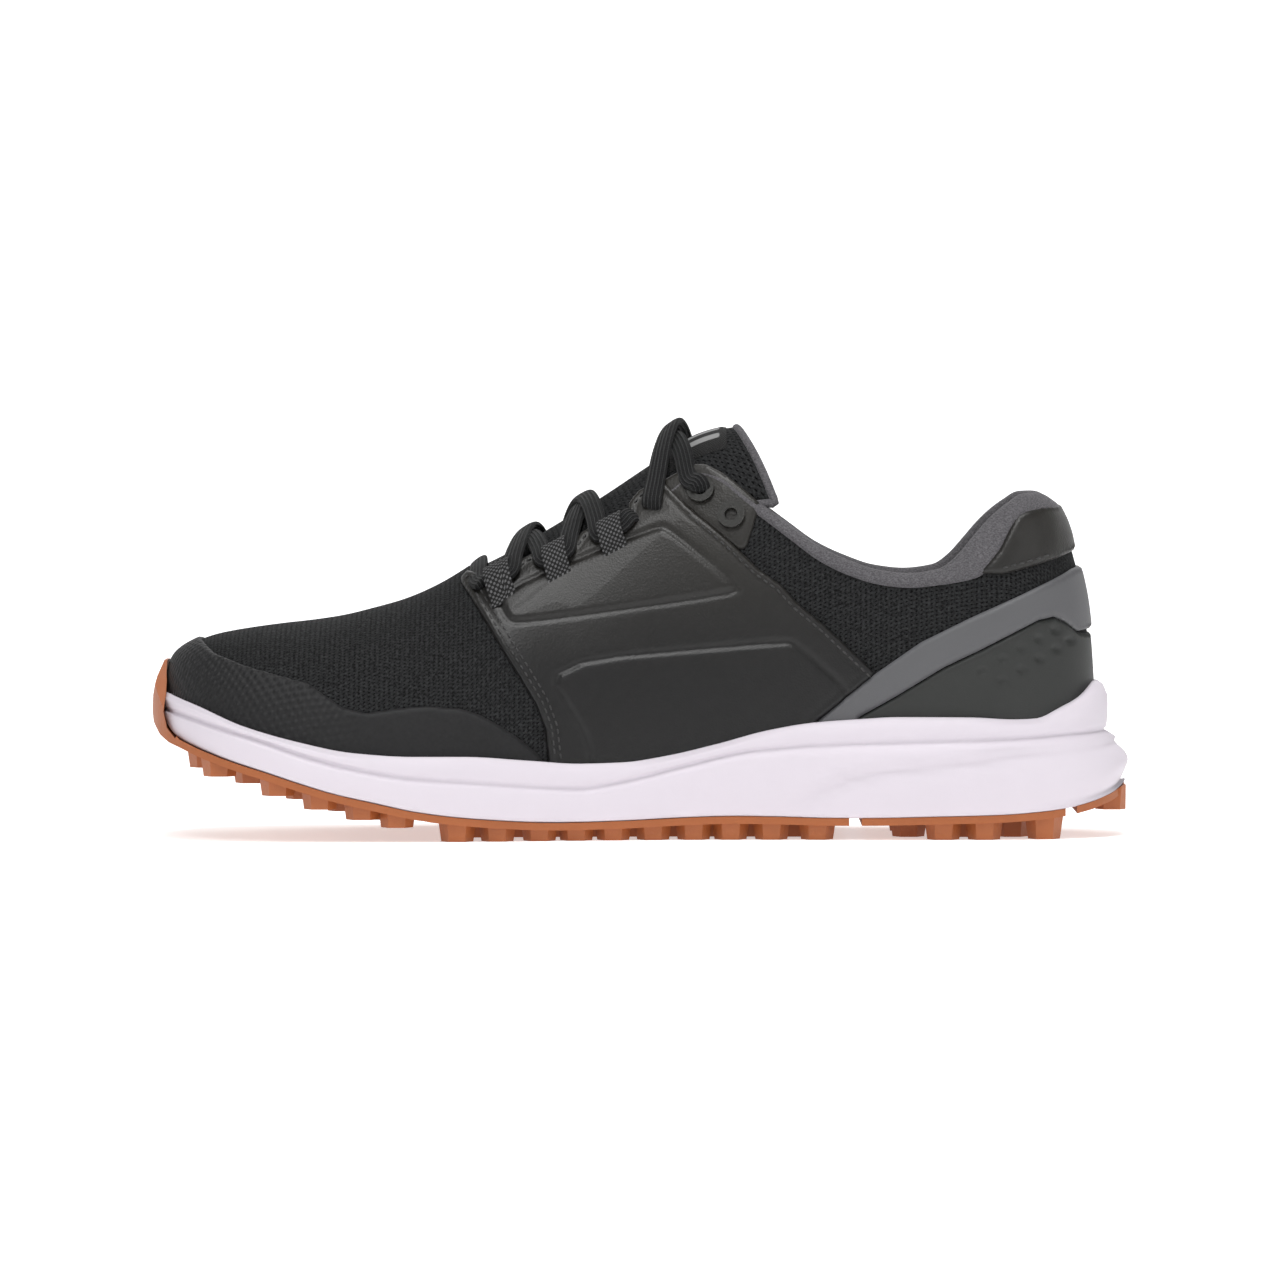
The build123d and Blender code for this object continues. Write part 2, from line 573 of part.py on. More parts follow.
save("outsole_forefoot", tread(-141.9, FLEX_X - 0.3, True))
save("outsole_midfoot", tread(FLEX_X + 0.3, 63.6, False))
save("outsole_heel", tread(67.5, 130.0, False))
save("outsole_heel_rear", tread(133.6, 149.4, False))

# ---------------------------------------------------------------- eyelet rings
FLANGE_R, FLANGE_THICK = 4.2, 0.8
BARREL_WALL = 0.4


def ring(x, z, side):
    """An eyelet: flange on the outside, barrel through the layers, open bore."""
    flange_at, normal = skin(x, z, side, OVERLAY + 0.45)
    barrel_at, _ = skin(x, z, side, -MESH - 2.0)
    with BuildPart() as made:
        with BuildSketch(Plane(origin=flange_at, z_dir=normal)):
            Circle(FLANGE_R)
        extrude(amount=FLANGE_THICK)
        with BuildSketch(Plane(origin=barrel_at, z_dir=normal)):
            Circle(EYELET_R + BARREL_WALL)
        extrude(amount=OVERLAY + MESH + 2.6)
        with BuildSketch(Plane(origin=barrel_at, z_dir=normal)):
            Circle(EYELET_R)
        extrude(amount=12, both=True, mode=Mode.SUBTRACT)
    return made.part


# ---------------------------------------------------------------- lace loops
LOOPS = [(-43.0, 77.4), (-26.0, 83.6), (-8.8, 91.6)]    # (x, z)
LOOP_IN, LOOP_OUT, LOOP_LONG = 1.75, 2.35, 6.0          # radii and length


def loop_axis(x, z, side):
    """Centre of a loop and its direction, which runs rearwards along the throat."""
    off = OVERLAY + 0.6 + LOOP_OUT
    front, _ = skin(x - 4, z - 2.0, side, off)
    rear, _ = skin(x + 4, z + 2.0, side, off)
    centre, _ = skin(x, z, side, off)
    return centre, (rear - front).normalized()


def lace_loop(x, z, side):
    """A short tube lying along the throat."""
    centre, along = loop_axis(x, z, side)
    with BuildPart() as made:
        with BuildSketch(Plane(origin=centre - along * (LOOP_LONG / 2), z_dir=along)):
            Circle(LOOP_OUT)
            Circle(LOOP_IN, mode=Mode.SUBTRACT)
        extrude(amount=LOOP_LONG)
    return made.part


for side_name, side in SIDES.items():
    save(f"eyelet_rings_{side_name}", *[ring(x, z, side) for x, z in EYELETS])
    save(f"lace_loops_{side_name}", *[lace_loop(x, z, side) for x, z in LOOPS])

# ---------------------------------------------------------------- shoelace
LACE_CLEAR = 2.6          # lace ends beyond the loop ends
BAR_RISE = 3.4            # rises of the lace arcs over the closed body
OVER_RISE = 3.6
UNDER_RISE = 0.4


def arch(x, y, rise):
    """Point over x, y on the closed body, lifted by rise."""
    bed, power = bed_z(x), section_power(x)
    cosine = min(1.0, abs(y - mid_y(x)) / upper_half(x)) ** (power / 2)
    sine = math.sqrt(max(0.0, 1 - cosine * cosine))
    return Vector(x, y, bed + (ridge_z(x) - bed) * sine ** (2 / power) + rise)


def lace_length(start, end, rise):
    """One length of lace, an arc over the tongue."""
    middle = arch((start.X + end.X) / 2, (start.Y + end.Y) / 2, rise)
    with BuildPart() as made:
        with BuildLine():
            run = ThreePointArc(start, middle, end)
        with BuildSketch(Plane(origin=run @ 0, z_dir=run % 0)):
            Circle(LACE_R)
        sweep(path=run)
    return made.part


# Lace ends in front of and behind each loop; the last front end is at the first eyelet
front_ends = {}
rear_ends = {}
for side in SIDES.values():
    lift = Vector(0, -side * 0.8, 0.6)
    for i, spot in enumerate(LOOPS):
        centre, along = loop_axis(*spot, side)
        front_ends[side, i] = centre - along * (LOOP_LONG / 2 + LACE_CLEAR) + lift
        rear_ends[side, i] = centre + along * (LOOP_LONG / 2 + LACE_CLEAR) + lift
    eyelet, _ = skin(*EYELETS[0], side, OVERLAY + 3.6)
    front_ends[side, len(LOOPS)] = eyelet + Vector(-1.5, 0, 2.5)

# A bar across the front loops, then a crossing pair behind each pair of loops
lace = [lace_length(front_ends[-1, 0], front_ends[1, 0], BAR_RISE)]
for i in range(len(LOOPS)):
    lace.append(lace_length(rear_ends[-1, i], front_ends[1, i + 1], OVER_RISE))
    lace.append(lace_length(rear_ends[1, i], front_ends[-1, i + 1], UNDER_RISE))
save("shoelace", *lace)
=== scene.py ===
"""A low lace-up sports shoe: mesh upper with overlays, foam midsole, gum rubber outsole.

The toe points to -x and the heel to +x, the medial side is -y and the lateral side +y,
and the floor is at z = 0. Shapes are in millimetres; make() turns them into metres.
"""
import bpy
import bmesh
import math
import numpy as np
from collections import namedtuple
from functools import cached_property
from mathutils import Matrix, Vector


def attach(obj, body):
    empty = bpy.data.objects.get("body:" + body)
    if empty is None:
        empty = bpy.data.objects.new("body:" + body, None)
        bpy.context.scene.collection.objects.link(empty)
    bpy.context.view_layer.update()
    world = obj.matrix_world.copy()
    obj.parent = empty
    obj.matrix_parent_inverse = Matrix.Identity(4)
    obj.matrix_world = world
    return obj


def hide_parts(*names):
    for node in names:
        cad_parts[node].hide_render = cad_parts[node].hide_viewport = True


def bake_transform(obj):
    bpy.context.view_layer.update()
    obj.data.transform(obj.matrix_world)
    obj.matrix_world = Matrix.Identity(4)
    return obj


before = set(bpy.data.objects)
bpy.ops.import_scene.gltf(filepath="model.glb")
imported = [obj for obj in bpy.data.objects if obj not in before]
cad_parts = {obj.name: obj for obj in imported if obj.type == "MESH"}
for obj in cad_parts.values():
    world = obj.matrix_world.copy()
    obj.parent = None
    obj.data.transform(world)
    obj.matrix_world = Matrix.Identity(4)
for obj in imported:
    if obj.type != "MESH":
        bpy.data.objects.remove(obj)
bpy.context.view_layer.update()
MM = 0.001
SIDES = ((-1, "medial"), (1, "lateral"))

# Plan of the upper: each rounded end is (x where it starts, x of its tip, half width, exponent)
UPPER_TOE = (-83.5, -145.5, 47.2, 2.3)
UPPER_HEEL = (104.0, 139.0, 33.5, 2.2)
GRID_TOE, GRID_HEEL = -145.45, 138.9  # x range of the upper's surface grid
GIRTH = 215  # nominal length over a cross-section; sets the grid count
LAYER_GAP = 0.1  # overlays start this far off the upper


# ------------------------------------------------------------------ number helpers
def curve(points):
    """Monotone cubic through (x, value) stations, as a function of x."""
    xs, ys = np.array(points, float).T
    slopes = np.diff(ys) / np.diff(xs)
    inner = [0.0 if a * b <= 0 else 2 * a * b / (a + b) for a, b in zip(slopes, slopes[1:])]
    tangent = np.array([slopes[0], *inner, slopes[-1]])
    grid = np.linspace(xs[0], xs[-1], 3000)
    k = np.clip(np.searchsorted(xs, grid, side="right") - 1, 0, len(xs) - 2)
    h = xs[k + 1] - xs[k]
    t = (grid - xs[k]) / h
    values = ((2 * t**3 - 3 * t**2 + 1) * ys[k] + (t**3 - 2 * t**2 + t) * h * tangent[k]
              + (-2 * t**3 + 3 * t**2) * ys[k + 1] + (t**3 - t**2) * h * tangent[k + 1])
    return lambda x: np.interp(x, grid, values)


def shifted(line, rise):
    return lambda x: line(x) + rise


def between(line, other, share):
    return lambda x: line(x) * (1 - share) + other(x) * share


def unit(v):
    return v / np.maximum(np.linalg.norm(v, axis=-1, keepdims=True), 1e-9)


def flatten(v, n):
    """Remove from v its part along the unit vector n."""
    return v - n * (v * n).sum(-1, keepdims=True)


def cumulative(steps):
    return np.concatenate([[0], np.cumsum(steps)])


def cosine_spaced(low, high, count):
    """Values from low to high, packed towards both ends."""
    return (low + high) / 2 - (high - low) / 2 * np.cos(np.linspace(0, np.pi, count))


def circle_angles(count):
    return np.linspace(0, 2 * np.pi, count + 1)[:-1]


def smoothstep(t):
    return t * t * (3 - 2 * t)


def bell(distance, width):
    return np.exp(-(distance / width) ** 2)


def signed_power(v, exponent):
    return np.sign(v) * np.abs(v) ** exponent


def round_off(t, exponent):
    """Superellipse: 1 at t = 0, falling to 0 at t = 1."""
    return np.maximum(1 - t**exponent, 0) ** (1 / exponent)


def plan_half(x, toe, heel, middle):
    """Half width in plan: middle between two rounded ends."""
    def rounded_end(start, tip, width, exponent):
        return width * round_off(np.clip((x - start) / (tip - start), 0, 1), exponent)

    rear = np.where(x > heel[0], rounded_end(*heel), middle)
    return np.where(x < toe[0], rounded_end(*toe), rear)


# ------------------------------------------------------------------ stations: (x, value)
# Upper: height of its base, height of its crown, centre line, half width, section exponent
bed_z = curve([
    (-146, 39), (-135, 35.4), (-121, 31), (-104.5, 26.5), (-88, 21.6), (-70, 18), (-53, 16.8),
    (-34, 17), (-19, 17.6), (7, 19.8), (24, 21.6), (38, 23.6), (53, 25.2), (79, 26.6),
    (100, 27), (140, 28)])
top_z = curve([
    (-145.5, 45), (-145.1, 49), (-144.4, 53), (-142.5, 56.2), (-138.5, 59), (-132.7, 61.5),
    (-128, 62.7), (-119, 64.2), (-109.8, 65.4), (-100.7, 66.4), (-91.6, 67.8), (-82.5, 70),
    (-73.3, 72.6), (-64.2, 76.4), (-54.8, 81.8), (-41.4, 91.5), (-30.7, 98.2), (-12.5, 108.8),
    (2.7, 119.4), (18, 129), (27, 132), (45, 133.5), (75, 133.5), (100, 129), (112, 125),
    (120, 118), (125, 110), (128, 102), (131, 94), (134, 84), (136.5, 73), (138, 60), (139, 46)])
mid_y = curve([
    (-146, -9), (-131, -7.5), (-121, -6.3), (-106, -4.3), (-85, -1.6), (-65, 0.6), (-45, 2.6),
    (-20, 4.2), (5, 4.2), (30, 3.2), (60, 1.6), (90, 0.6), (104, 0.3), (140, 0)])
waist_half = curve([
    (-83.5, 47.2), (-65, 48), (-45, 47), (-20, 43.3), (5, 39.3), (30, 36.3), (60, 34.5),
    (90, 34), (104, 33.5)])
roundness = curve([
    (-146, 2.4), (-100, 2.25), (-70, 2.05), (-50, 1.9), (-20, 1.85), (10, 1.85), (30, 2.05),
    (60, 2.4), (100, 2.6), (140, 2.8)])
# Midsole heights: upper rim, groove round the side, underside, rear crease
rim_z = curve([
    (-145.4, 44.7), (-135, 41.1), (-121.5, 35.5), (-104.5, 30.7), (-87.6, 27.3), (-70.6, 26.1),
    (-53.6, 26), (-34.5, 24.7), (-19, 23.6), (-5.5, 23.9), (7.2, 25.7), (23.7, 29.5),
    (38.2, 33.4), (52.8, 35.9), (67.4, 37), (78.8, 37.6), (100.4, 37.5), (114.4, 36.8),
    (120.6, 37), (128.5, 40.3), (134.2, 43.2), (139, 47.7)])
groove_z = curve([
    (-146, 39.6), (-141.9, 38.9), (-128.3, 34.8), (-114.7, 30.7), (-101.1, 26), (-87.6, 22.5),
    (-70.6, 19.5), (-57, 18.5), (-29.7, 16.5), (-19, 16), (-5.5, 18), (14, 22.8), (33.4, 27.1),
    (57.7, 29.1), (78.8, 29.8), (111.7, 30.8), (134.2, 32.2), (146, 32.8)])
sole_z = curve([
    (-146, 38), (-144.6, 34.1), (-141.9, 31.4), (-135.1, 28.3), (-124.9, 24.6), (-114.7, 21.5),
    (-104.5, 18.2), (-94.4, 15.1), (-80.8, 11.9), (-67.2, 9.0), (-49, 6.9), (-24.9, 5.7),
    (-5.5, 6.1), (14, 7.0), (28.5, 7.4), (43.1, 7.2), (58.6, 6.8), (67.8, 6.8), (89.1, 7.2),
    (111.7, 7.8), (122.9, 8.6), (129, 9.3), (136.9, 10.9), (145.4, 13.9), (150.5, 17.5)])
crease_z = curve([
    (40, 9), (52.6, 13.4), (67.2, 19.5), (100.4, 23.5), (128.5, 27.4), (150, 29)])
# Opening: top edge of the collar, and the mesh edge just below it
top_line = curve([
    (-54.8, 78.6), (-50, 80), (-42.9, 82.5), (-24.6, 88.6), (-6.4, 97.1), (7.9, 107),
    (18, 113), (24.6, 111.4), (30.7, 106.8), (39.9, 100.1), (45.3, 96.1), (54.5, 89.5),
    (63.6, 85.2), (72.7, 82.2), (81.8, 81.2), (91, 82.4), (95.5, 85.4), (100.1, 90.5),
    (104.7, 95.9), (109.2, 99.9), (113.8, 103), (118.4, 105.4), (123, 105.6), (127, 103.5),
    (130, 101)])
mesh_line = curve([
    (-54.8, 76.5), (-50, 77.5), (-42.9, 80), (-24.6, 86), (-6.4, 94.5), (7.9, 104),
    (18, 110.8), (24.6, 108.6), (30.7, 103.7), (39.9, 96.9), (45.3, 92.8), (54.5, 86),
    (63.6, 81.6), (72.7, 78.8), (81.8, 77.8), (91, 78.6), (97, 79.5), (103.7, 81.3),
    (109.8, 88.8), (114.1, 97), (117.7, 99.6), (123, 100.4), (130, 98)])
# Height of the tongue's centre line
ridge_z = curve([
    (-56, 77.5), (-52, 79.1), (-43, 84.5), (-30.7, 92.2), (-12.5, 103), (2.7, 113.2),
    (12, 119.5), (18, 122.8), (24, 124.6), (30, 125.6), (45, 126.5)])


# ------------------------------------------------------------------ surface of the upper
def half_w(x):
    x = np.asarray(x, float)
    return np.maximum(plan_half(x, UPPER_TOE, UPPER_HEEL, waist_half(x)), 0.9)


def field(p):
    """Implicit function of the closed upper: negative inside."""
    x, y, z = p[..., 0], p[..., 1], p[..., 2]
    n = roundness(x)
    u = np.abs(y - mid_y(x)) / half_w(x)
    v = np.maximum(z - bed_z(x), 0) / np.maximum(top_z(x) - bed_z(x), 1.0)
    return (u**n + v**n) ** (1 / n) - 1


def gradient(p, step):
    g = np.empty(p.shape)
    for k in range(3):
        d = np.zeros(3)
        d[k] = step
        g[..., k] = (field(p + d) - field(p - d)) / (2 * step)
    return g


def normal(p):
    """Outward normals, kept level near the base."""
    g = gradient(p, 0.25)
    low = p[..., 2] < bed_z(p[..., 0]) + 1.5
    g[..., 2] = np.where(low, 0, g[..., 2])
    return unit(g)


def settle(p):
    """Bring points back on to the closed upper in three steps of at most 1.5 mm."""
    for _ in range(3):
        g = gradient(p, 0.2)
        step = field(p)[..., None] * g / np.maximum((g * g).sum(-1, keepdims=True), 1e-9)
        length = np.linalg.norm(step, axis=-1, keepdims=True)
        p = p - step * np.minimum(1, 1.5 / np.maximum(length, 1e-9))
    return p


def skin(x, z, side, off=0.0):
    """Points at x, z on one side of the upper, moved outward by off."""
    v = np.clip((z - bed_z(x)) / (top_z(x) - bed_z(x)), 0, 1)
    y = mid_y(x) + side * half_w(x) * round_off(v, roundness(x))
    p = np.stack([x, y, z], -1)
    return p + normal(p) * off


def arch(x, y):
    """The point over x, y on the closed upper."""
    u = np.clip(np.abs(y - mid_y(x)) / half_w(x), 0, 1)
    return np.array([x, y, bed_z(x) + (top_z(x) - bed_z(x)) * round_off(u, roundness(x))])


# ------------------------------------------------------------------ mesh helpers
def make(name, verts, faces, mat, uv, shell=False):
    """Make a smooth object; a shell's normals are turned away from the foot."""
    used = sorted({int(i) for face in faces for i in face})
    index = {old: new for new, old in enumerate(used)}
    verts, uv = np.asarray(verts)[used] * MM, np.asarray(uv)[used]
    mesh = bpy.data.meshes.new(name)
    mesh.from_pydata([tuple(v) for v in verts], [],
                     [tuple(index[int(i)] for i in face) for face in faces])
    mesh.update()
    layer = mesh.uv_layers.new(name="UVMap")
    corners = np.empty(len(mesh.loops), dtype=np.int64)
    mesh.loops.foreach_get("vertex_index", corners)
    layer.data.foreach_set("uv", uv[corners].astype(np.float32).ravel())
    mesh.polygons.foreach_set("use_smooth", [True] * len(mesh.polygons))
    ob = add_object(name, mesh)
    mesh.materials.append(mat)

    bm = bmesh.new()
    bm.from_mesh(mesh)
    bmesh.ops.recalc_face_normals(bm, faces=bm.faces)
    if shell:
        outwardness = 0.0
        for face in bm.faces:
            c = face.calc_center_median() / MM
            away = Vector((0, c.y - float(mid_y(c.x)), c.z - float(bed_z(c.x)) - 8))
            outwardness += face.normal.dot(away) * face.calc_area()
        if outwardness < 0:
            bmesh.ops.reverse_faces(bm, faces=bm.faces[:])
    bm.to_mesh(mesh)
    bm.free()
    return ob


def add_object(name, data):
    ob = bpy.data.objects.new(name, data)
    bpy.context.scene.collection.objects.link(ob)
    return ob


def fit(ob, slot, *replaced, part=None):
    """Hide the CAD parts that a piece replaces and set how it moves; slot is not used.

    It rides on part, or keeps its baked transform when no part is given.
    """
    if replaced:
        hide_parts(*replaced)
    if part:
        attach(ob, part)
    else:
        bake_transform(ob)


def thicken(ob, thickness, offset):
    solid = ob.modifiers.new("thickness", "SOLIDIFY")
    solid.thickness = thickness * MM
    solid.offset = offset


def quads(rows, cols, closed=False, start=0):
    """Faces of a grid; closed joins the last column to the first."""
    faces = []
    for i in range(rows - 1):
        for j in range(cols if closed else cols - 1):
            here, after = start + i * cols, (j + 1) % cols
            faces.append((here + j, here + after, here + cols + after, here + cols + j))
    return faces


def inside(outline, x, z):
    points = np.asarray(outline)
    result = np.zeros(np.shape(x), bool)
    for (x1, z1), (x2, z2) in zip(points, np.roll(points, -1, 0)):
        if z1 != z2:
            result ^= ((z1 > z) != (z2 > z)) & (x < (x2 - x1) * (z - z1) / (z2 - z1) + x1)
    return result


def nearest(outline, x, z):
    """Nearest point on the outline, and the distance to it."""
    points = np.asarray(outline, float)
    best = np.full(np.shape(x), 1e9)
    near_x, near_z = np.array(x, float), np.array(z, float)
    for (x1, z1), (x2, z2) in zip(points, np.roll(points, -1, 0)):
        dx, dz = x2 - x1, z2 - z1
        t = np.clip(((x - x1) * dx + (z - z1) * dz) / max(dx * dx + dz * dz, 1e-9), 0, 1)
        cx, cz = x1 + t * dx, z1 + t * dz
        dist = np.hypot(x - cx, z - cz)
        closer = dist < best
        best = np.where(closer, dist, best)
        near_x, near_z = np.where(closer, cx, near_x), np.where(closer, cz, near_z)
    return near_x, near_z, best


def rounded(outline, times=2, closed=True):
    """Cut the corners of an outline."""
    p = np.asarray(outline, float)
    for _ in range(times):
        after = np.roll(p, -1, 0)
        cut = np.empty((2 * len(p), 2))
        cut[0::2] = p * 0.8 + after * 0.2
        cut[1::2] = p * 0.2 + after * 0.8
        p = cut if closed else np.vstack([p[:1], cut[1:-2], p[-1:]])
    return p


def surface_grid(step, x_lo=GRID_TOE, x_hi=GRID_HEEL):
    """Even grid over the upper: vertices, UVs in mm and quads."""
    xs = cosine_spaced(GRID_TOE, GRID_HEEL, 6000)
    rise = 0.35 * np.diff(top_z(xs)) ** 2
    spread = np.maximum(np.diff(half_w(xs)) ** 2, rise)
    arc = cumulative(np.sqrt(np.diff(xs) ** 2 + spread))
    lo, hi = np.interp((x_lo, x_hi), xs, arc)
    along = np.linspace(lo, hi, max(2, int((hi - lo) / step)) + 1)
    cols = int(GIRTH / step) + 1
    angle = np.linspace(0, np.pi, 721)
    verts = np.empty((len(along), cols, 3))
    uvs = np.empty((len(along), cols, 2))
    for i, x in enumerate(np.interp(along, arc, xs)):
        n, base = float(roundness(x)), float(bed_z(x))
        y = float(mid_y(x)) + float(half_w(x)) * signed_power(np.cos(angle), 2 / n)
        z = base + (float(top_z(x)) - base) * np.maximum(np.sin(angle), 0) ** (2 / n)
        length = cumulative(np.hypot(np.diff(y), np.diff(z)))
        t = np.linspace(0, length[-1], cols)
        verts[i] = np.column_stack(
            [np.full(cols, x), np.interp(t, length, y), np.interp(t, length, z)])
        uvs[i] = np.column_stack([np.full(cols, along[i]), t - length[-1] / 2])
    return verts.reshape(-1, 3), uvs.reshape(-1, 2), np.array(quads(len(along), cols))


def border(faces, count):
    """Mask of the vertices on the edge of a patch of grid quads."""
    uses = np.bincount(faces.ravel(), minlength=count)
    return (uses > 0) & (uses < 4)


def panel(name, outline, mat, step, thick, x_lo=GRID_TOE, x_hi=GRID_HEEL, side=0, lift=None,
          edge_radius=1.1):
    """A layer of the upper inside a side-view outline of (x, z); side 0 wraps both sides."""
    verts, uvs, faces = surface_grid(step, x_lo, x_hi)
    centre = verts[faces].mean(1)
    keep = inside(outline, centre[:, 0], centre[:, 2])
    if side:
        keep &= (centre[:, 1] - mid_y(centre[:, 0])) * side > 0.4
    faces = faces[keep]

    # Pull the stepped rim on to the outline
    near_x, near_z, dist = nearest(outline, verts[:, 0], verts[:, 2])
    snap = border(faces, len(verts)) & (dist < 1.6 * step)
    rim = verts[snap]
    move = np.zeros((len(rim), 3))
    move[:, 0], move[:, 2] = near_x[snap] - rim[:, 0], near_z[snap] - rim[:, 2]
    verts[snap] = settle(rim + flatten(move, normal(rim)))

    # Raise the layer, with a rounded edge
    out = normal(verts)
    dist = np.where(snap, 0, nearest(outline, verts[:, 0], verts[:, 2])[2])
    k = np.clip(dist / edge_radius, 0, 1)
    off = LAYER_GAP + thick * (0.45 + 0.55 * np.sqrt(1 - (1 - k) ** 2))
    if lift is not None:
        off = off + lift(verts[:, 0], verts[:, 2])
    top = verts + out * off[:, None]
    sunk = verts + out * (LAYER_GAP - 0.25)

    # Skirt from the open edges down into the upper
    edges = {}
    for face in faces:
        for a, b in zip(face, np.roll(face, -1)):
            key = (min(a, b), max(a, b))
            edges[key] = None if key in edges else (a, b)
    n = len(verts)
    skirt = [(b, a, a + n, b + n) for a, b in filter(None, edges.values())]
    return make(name, np.vstack([top, sunk]), [*faces, *skirt], mat, np.vstack([uvs, uvs]),
                shell=True)


def tube(name, paths, section, mat):
    """Sweep a closed section of (across, out) along paths over the upper."""
    verts, faces, uvs = [], [], []
    n = len(section)
    for path in paths:
        ahead = unit(np.gradient(path, axis=0))
        out = unit(flatten(normal(path), ahead))
        across = np.cross(ahead, out)
        length = cumulative(np.linalg.norm(np.diff(path, axis=0), axis=1))
        start = len(verts)
        for i in range(len(path)):
            for u, v in section:
                verts.append(path[i] + across[i] * u + out[i] * v)
                uvs.append((length[i], u))
        faces += quads(len(path), n, closed=True, start=start)
        faces.append(tuple(range(start, start + n)))
        faces.append(tuple(range(len(verts) - n, len(verts))))
    return make(name, verts, faces, mat, uvs)


def smooth_path(points, step=0.8):
    """Catmull-Rom curve through the points."""
    p = np.asarray(points, float)
    q = np.vstack([2 * p[0] - p[1], p, 2 * p[-1] - p[-2]])
    path = []
    for a, b, c, d in zip(q, q[1:], q[2:], q[3:]):
        count = max(2, int(np.linalg.norm(c - b) / step))
        for t in np.linspace(0, 1, count, endpoint=False):
            path.append(0.5 * (2 * b + (-a + c) * t + (2 * a - 5 * b + 4 * c - d) * t * t
                               + (-a + 3 * b - 3 * c + d) * t**3))
    path.append(p[-1])
    return np.array(path)


# ------------------------------------------------------------------ shader helpers
class Value:
    """A shader value with arithmetic."""

    def __init__(self, tree, socket):
        self.tree, self.socket = tree, socket

    def op(self, kind, *others):
        node = self.tree.nodes.new("ShaderNodeMath")
        node.operation = kind
        for i, v in enumerate((self,) + others):
            if isinstance(v, Value):
                self.tree.links.new(v.socket, node.inputs[i])
            else:
                node.inputs[i].default_value = float(v)
        return Value(self.tree, node.outputs[0])

    def __add__(self, o): return self.op("ADD", o)
    def __sub__(self, o): return self.op("SUBTRACT", o)
    def __mul__(self, o): return self.op("MULTIPLY", o)
    def __truediv__(self, o): return self.op("DIVIDE", o)
    def fract(self): return self.op("FRACT")
    def floor(self): return self.op("FLOOR")
    def abs(self): return self.op("ABSOLUTE")
    def sin(self): return self.op("SINE")
    def sqrt(self): return self.op("SQRT")
    def min(self, o): return self.op("MINIMUM", o)
    def max(self, o): return self.op("MAXIMUM", o)
    def clamp(self): return self.max(0.0).min(1.0)


def split(tree, socket):
    node = tree.nodes.new("ShaderNodeSeparateXYZ")
    tree.links.new(socket, node.inputs[0])
    return [Value(tree, out) for out in node.outputs]


class Coords:
    """Texture coordinates, whose nodes are made on first use."""

    def __init__(self, tree):
        self.tree = tree

    @cached_property
    def uv(self):
        """u, v in mm."""
        return split(self.tree, self.tree.nodes.new("ShaderNodeUVMap").outputs[0])[:2]

    @cached_property
    def position(self):
        """Object position in metres."""
        return self.tree.nodes.new("ShaderNodeTexCoord").outputs["Object"]


def noise(at, scale, detail, stretch=None):
    node = at.tree.nodes.new("ShaderNodeTexNoise")
    node.inputs["Scale"].default_value = scale
    node.inputs["Detail"].default_value = detail
    node.inputs["Roughness"].default_value = 0.55
    source = at.position
    if stretch:
        mapping = at.tree.nodes.new("ShaderNodeMapping")
        mapping.inputs["Scale"].default_value = stretch
        at.tree.links.new(source, mapping.inputs[0])
        source = mapping.outputs[0]
    at.tree.links.new(source, node.inputs["Vector"])
    return Value(at.tree, node.outputs[0])


def cells(at, scale):
    node = at.tree.nodes.new("ShaderNodeTexVoronoi")
    node.inputs["Scale"].default_value = scale
    at.tree.links.new(at.position, node.inputs["Vector"])
    return Value(at.tree, node.outputs["Distance"])


# What a pattern returns: bump height, mask for the second colour, that colour,
# bump depth in mm, and the roughness added where the mask is 1
Look = namedtuple("Look", "height mask color bump rough")


def material(name, color, rough, pattern=None, metal=0.0, sheen=0.0, specular=0.5, coat=0.0):
    mat = bpy.data.materials.new(name)
    mat.use_nodes = True
    tree = mat.node_tree
    shader = tree.nodes["Principled BSDF"]
    for socket, value in {
        "Base Color": (*color, 1), "Roughness": rough, "Metallic": metal,
        "Sheen Weight": sheen, "Sheen Roughness": 0.4,
        "Specular IOR Level": specular, "Coat Weight": coat,
    }.items():
        shader.inputs[socket].default_value = value
    if pattern is None:
        return mat
    look = pattern(Coords(tree))
    bump = tree.nodes.new("ShaderNodeBump")
    bump.inputs["Strength"].default_value = 1.0
    bump.inputs["Distance"].default_value = look.bump * MM
    tree.links.new(look.height.socket, bump.inputs["Height"])
    tree.links.new(bump.outputs[0], shader.inputs["Normal"])
    mix = tree.nodes.new("ShaderNodeMix")
    mix.data_type = "RGBA"
    mix.inputs[6].default_value = (*color, 1)
    mix.inputs[7].default_value = (*look.color, 1)
    tree.links.new(look.mask.socket, mix.inputs[0])
    tree.links.new(mix.outputs[2], shader.inputs["Base Color"])
    roughness_value = look.mask * look.rough + rough
    tree.links.new(roughness_value.socket, shader.inputs["Roughness"])
    return mat


# ------------------------------------------------------------------ patterns
def weave(at):
    """Open knit: staggered columns of small slanted stitches with dark holes between."""
    u, v = at.uv
    column = u / 1.55  # column pitch
    row = v / 1.25 + column.floor() * 0.5  # stitch pitch, half a stitch of stagger
    across, along = column.fract() - 0.5, row.fract() - 0.5
    slant = along + across * 0.55
    hole = (across * across * 5.0 + slant * slant * 8.5).sqrt()
    yarn = (hole * 1.6).min(1.0)
    fine = noise(at, scale=1400, detail=2)
    glint = yarn * yarn * yarn * (fine * 1.7 - 0.35).clamp()
    return Look(yarn + fine * 0.15, glint, color=(0.034, 0.035, 0.036), bump=0.7, rough=-0.1)


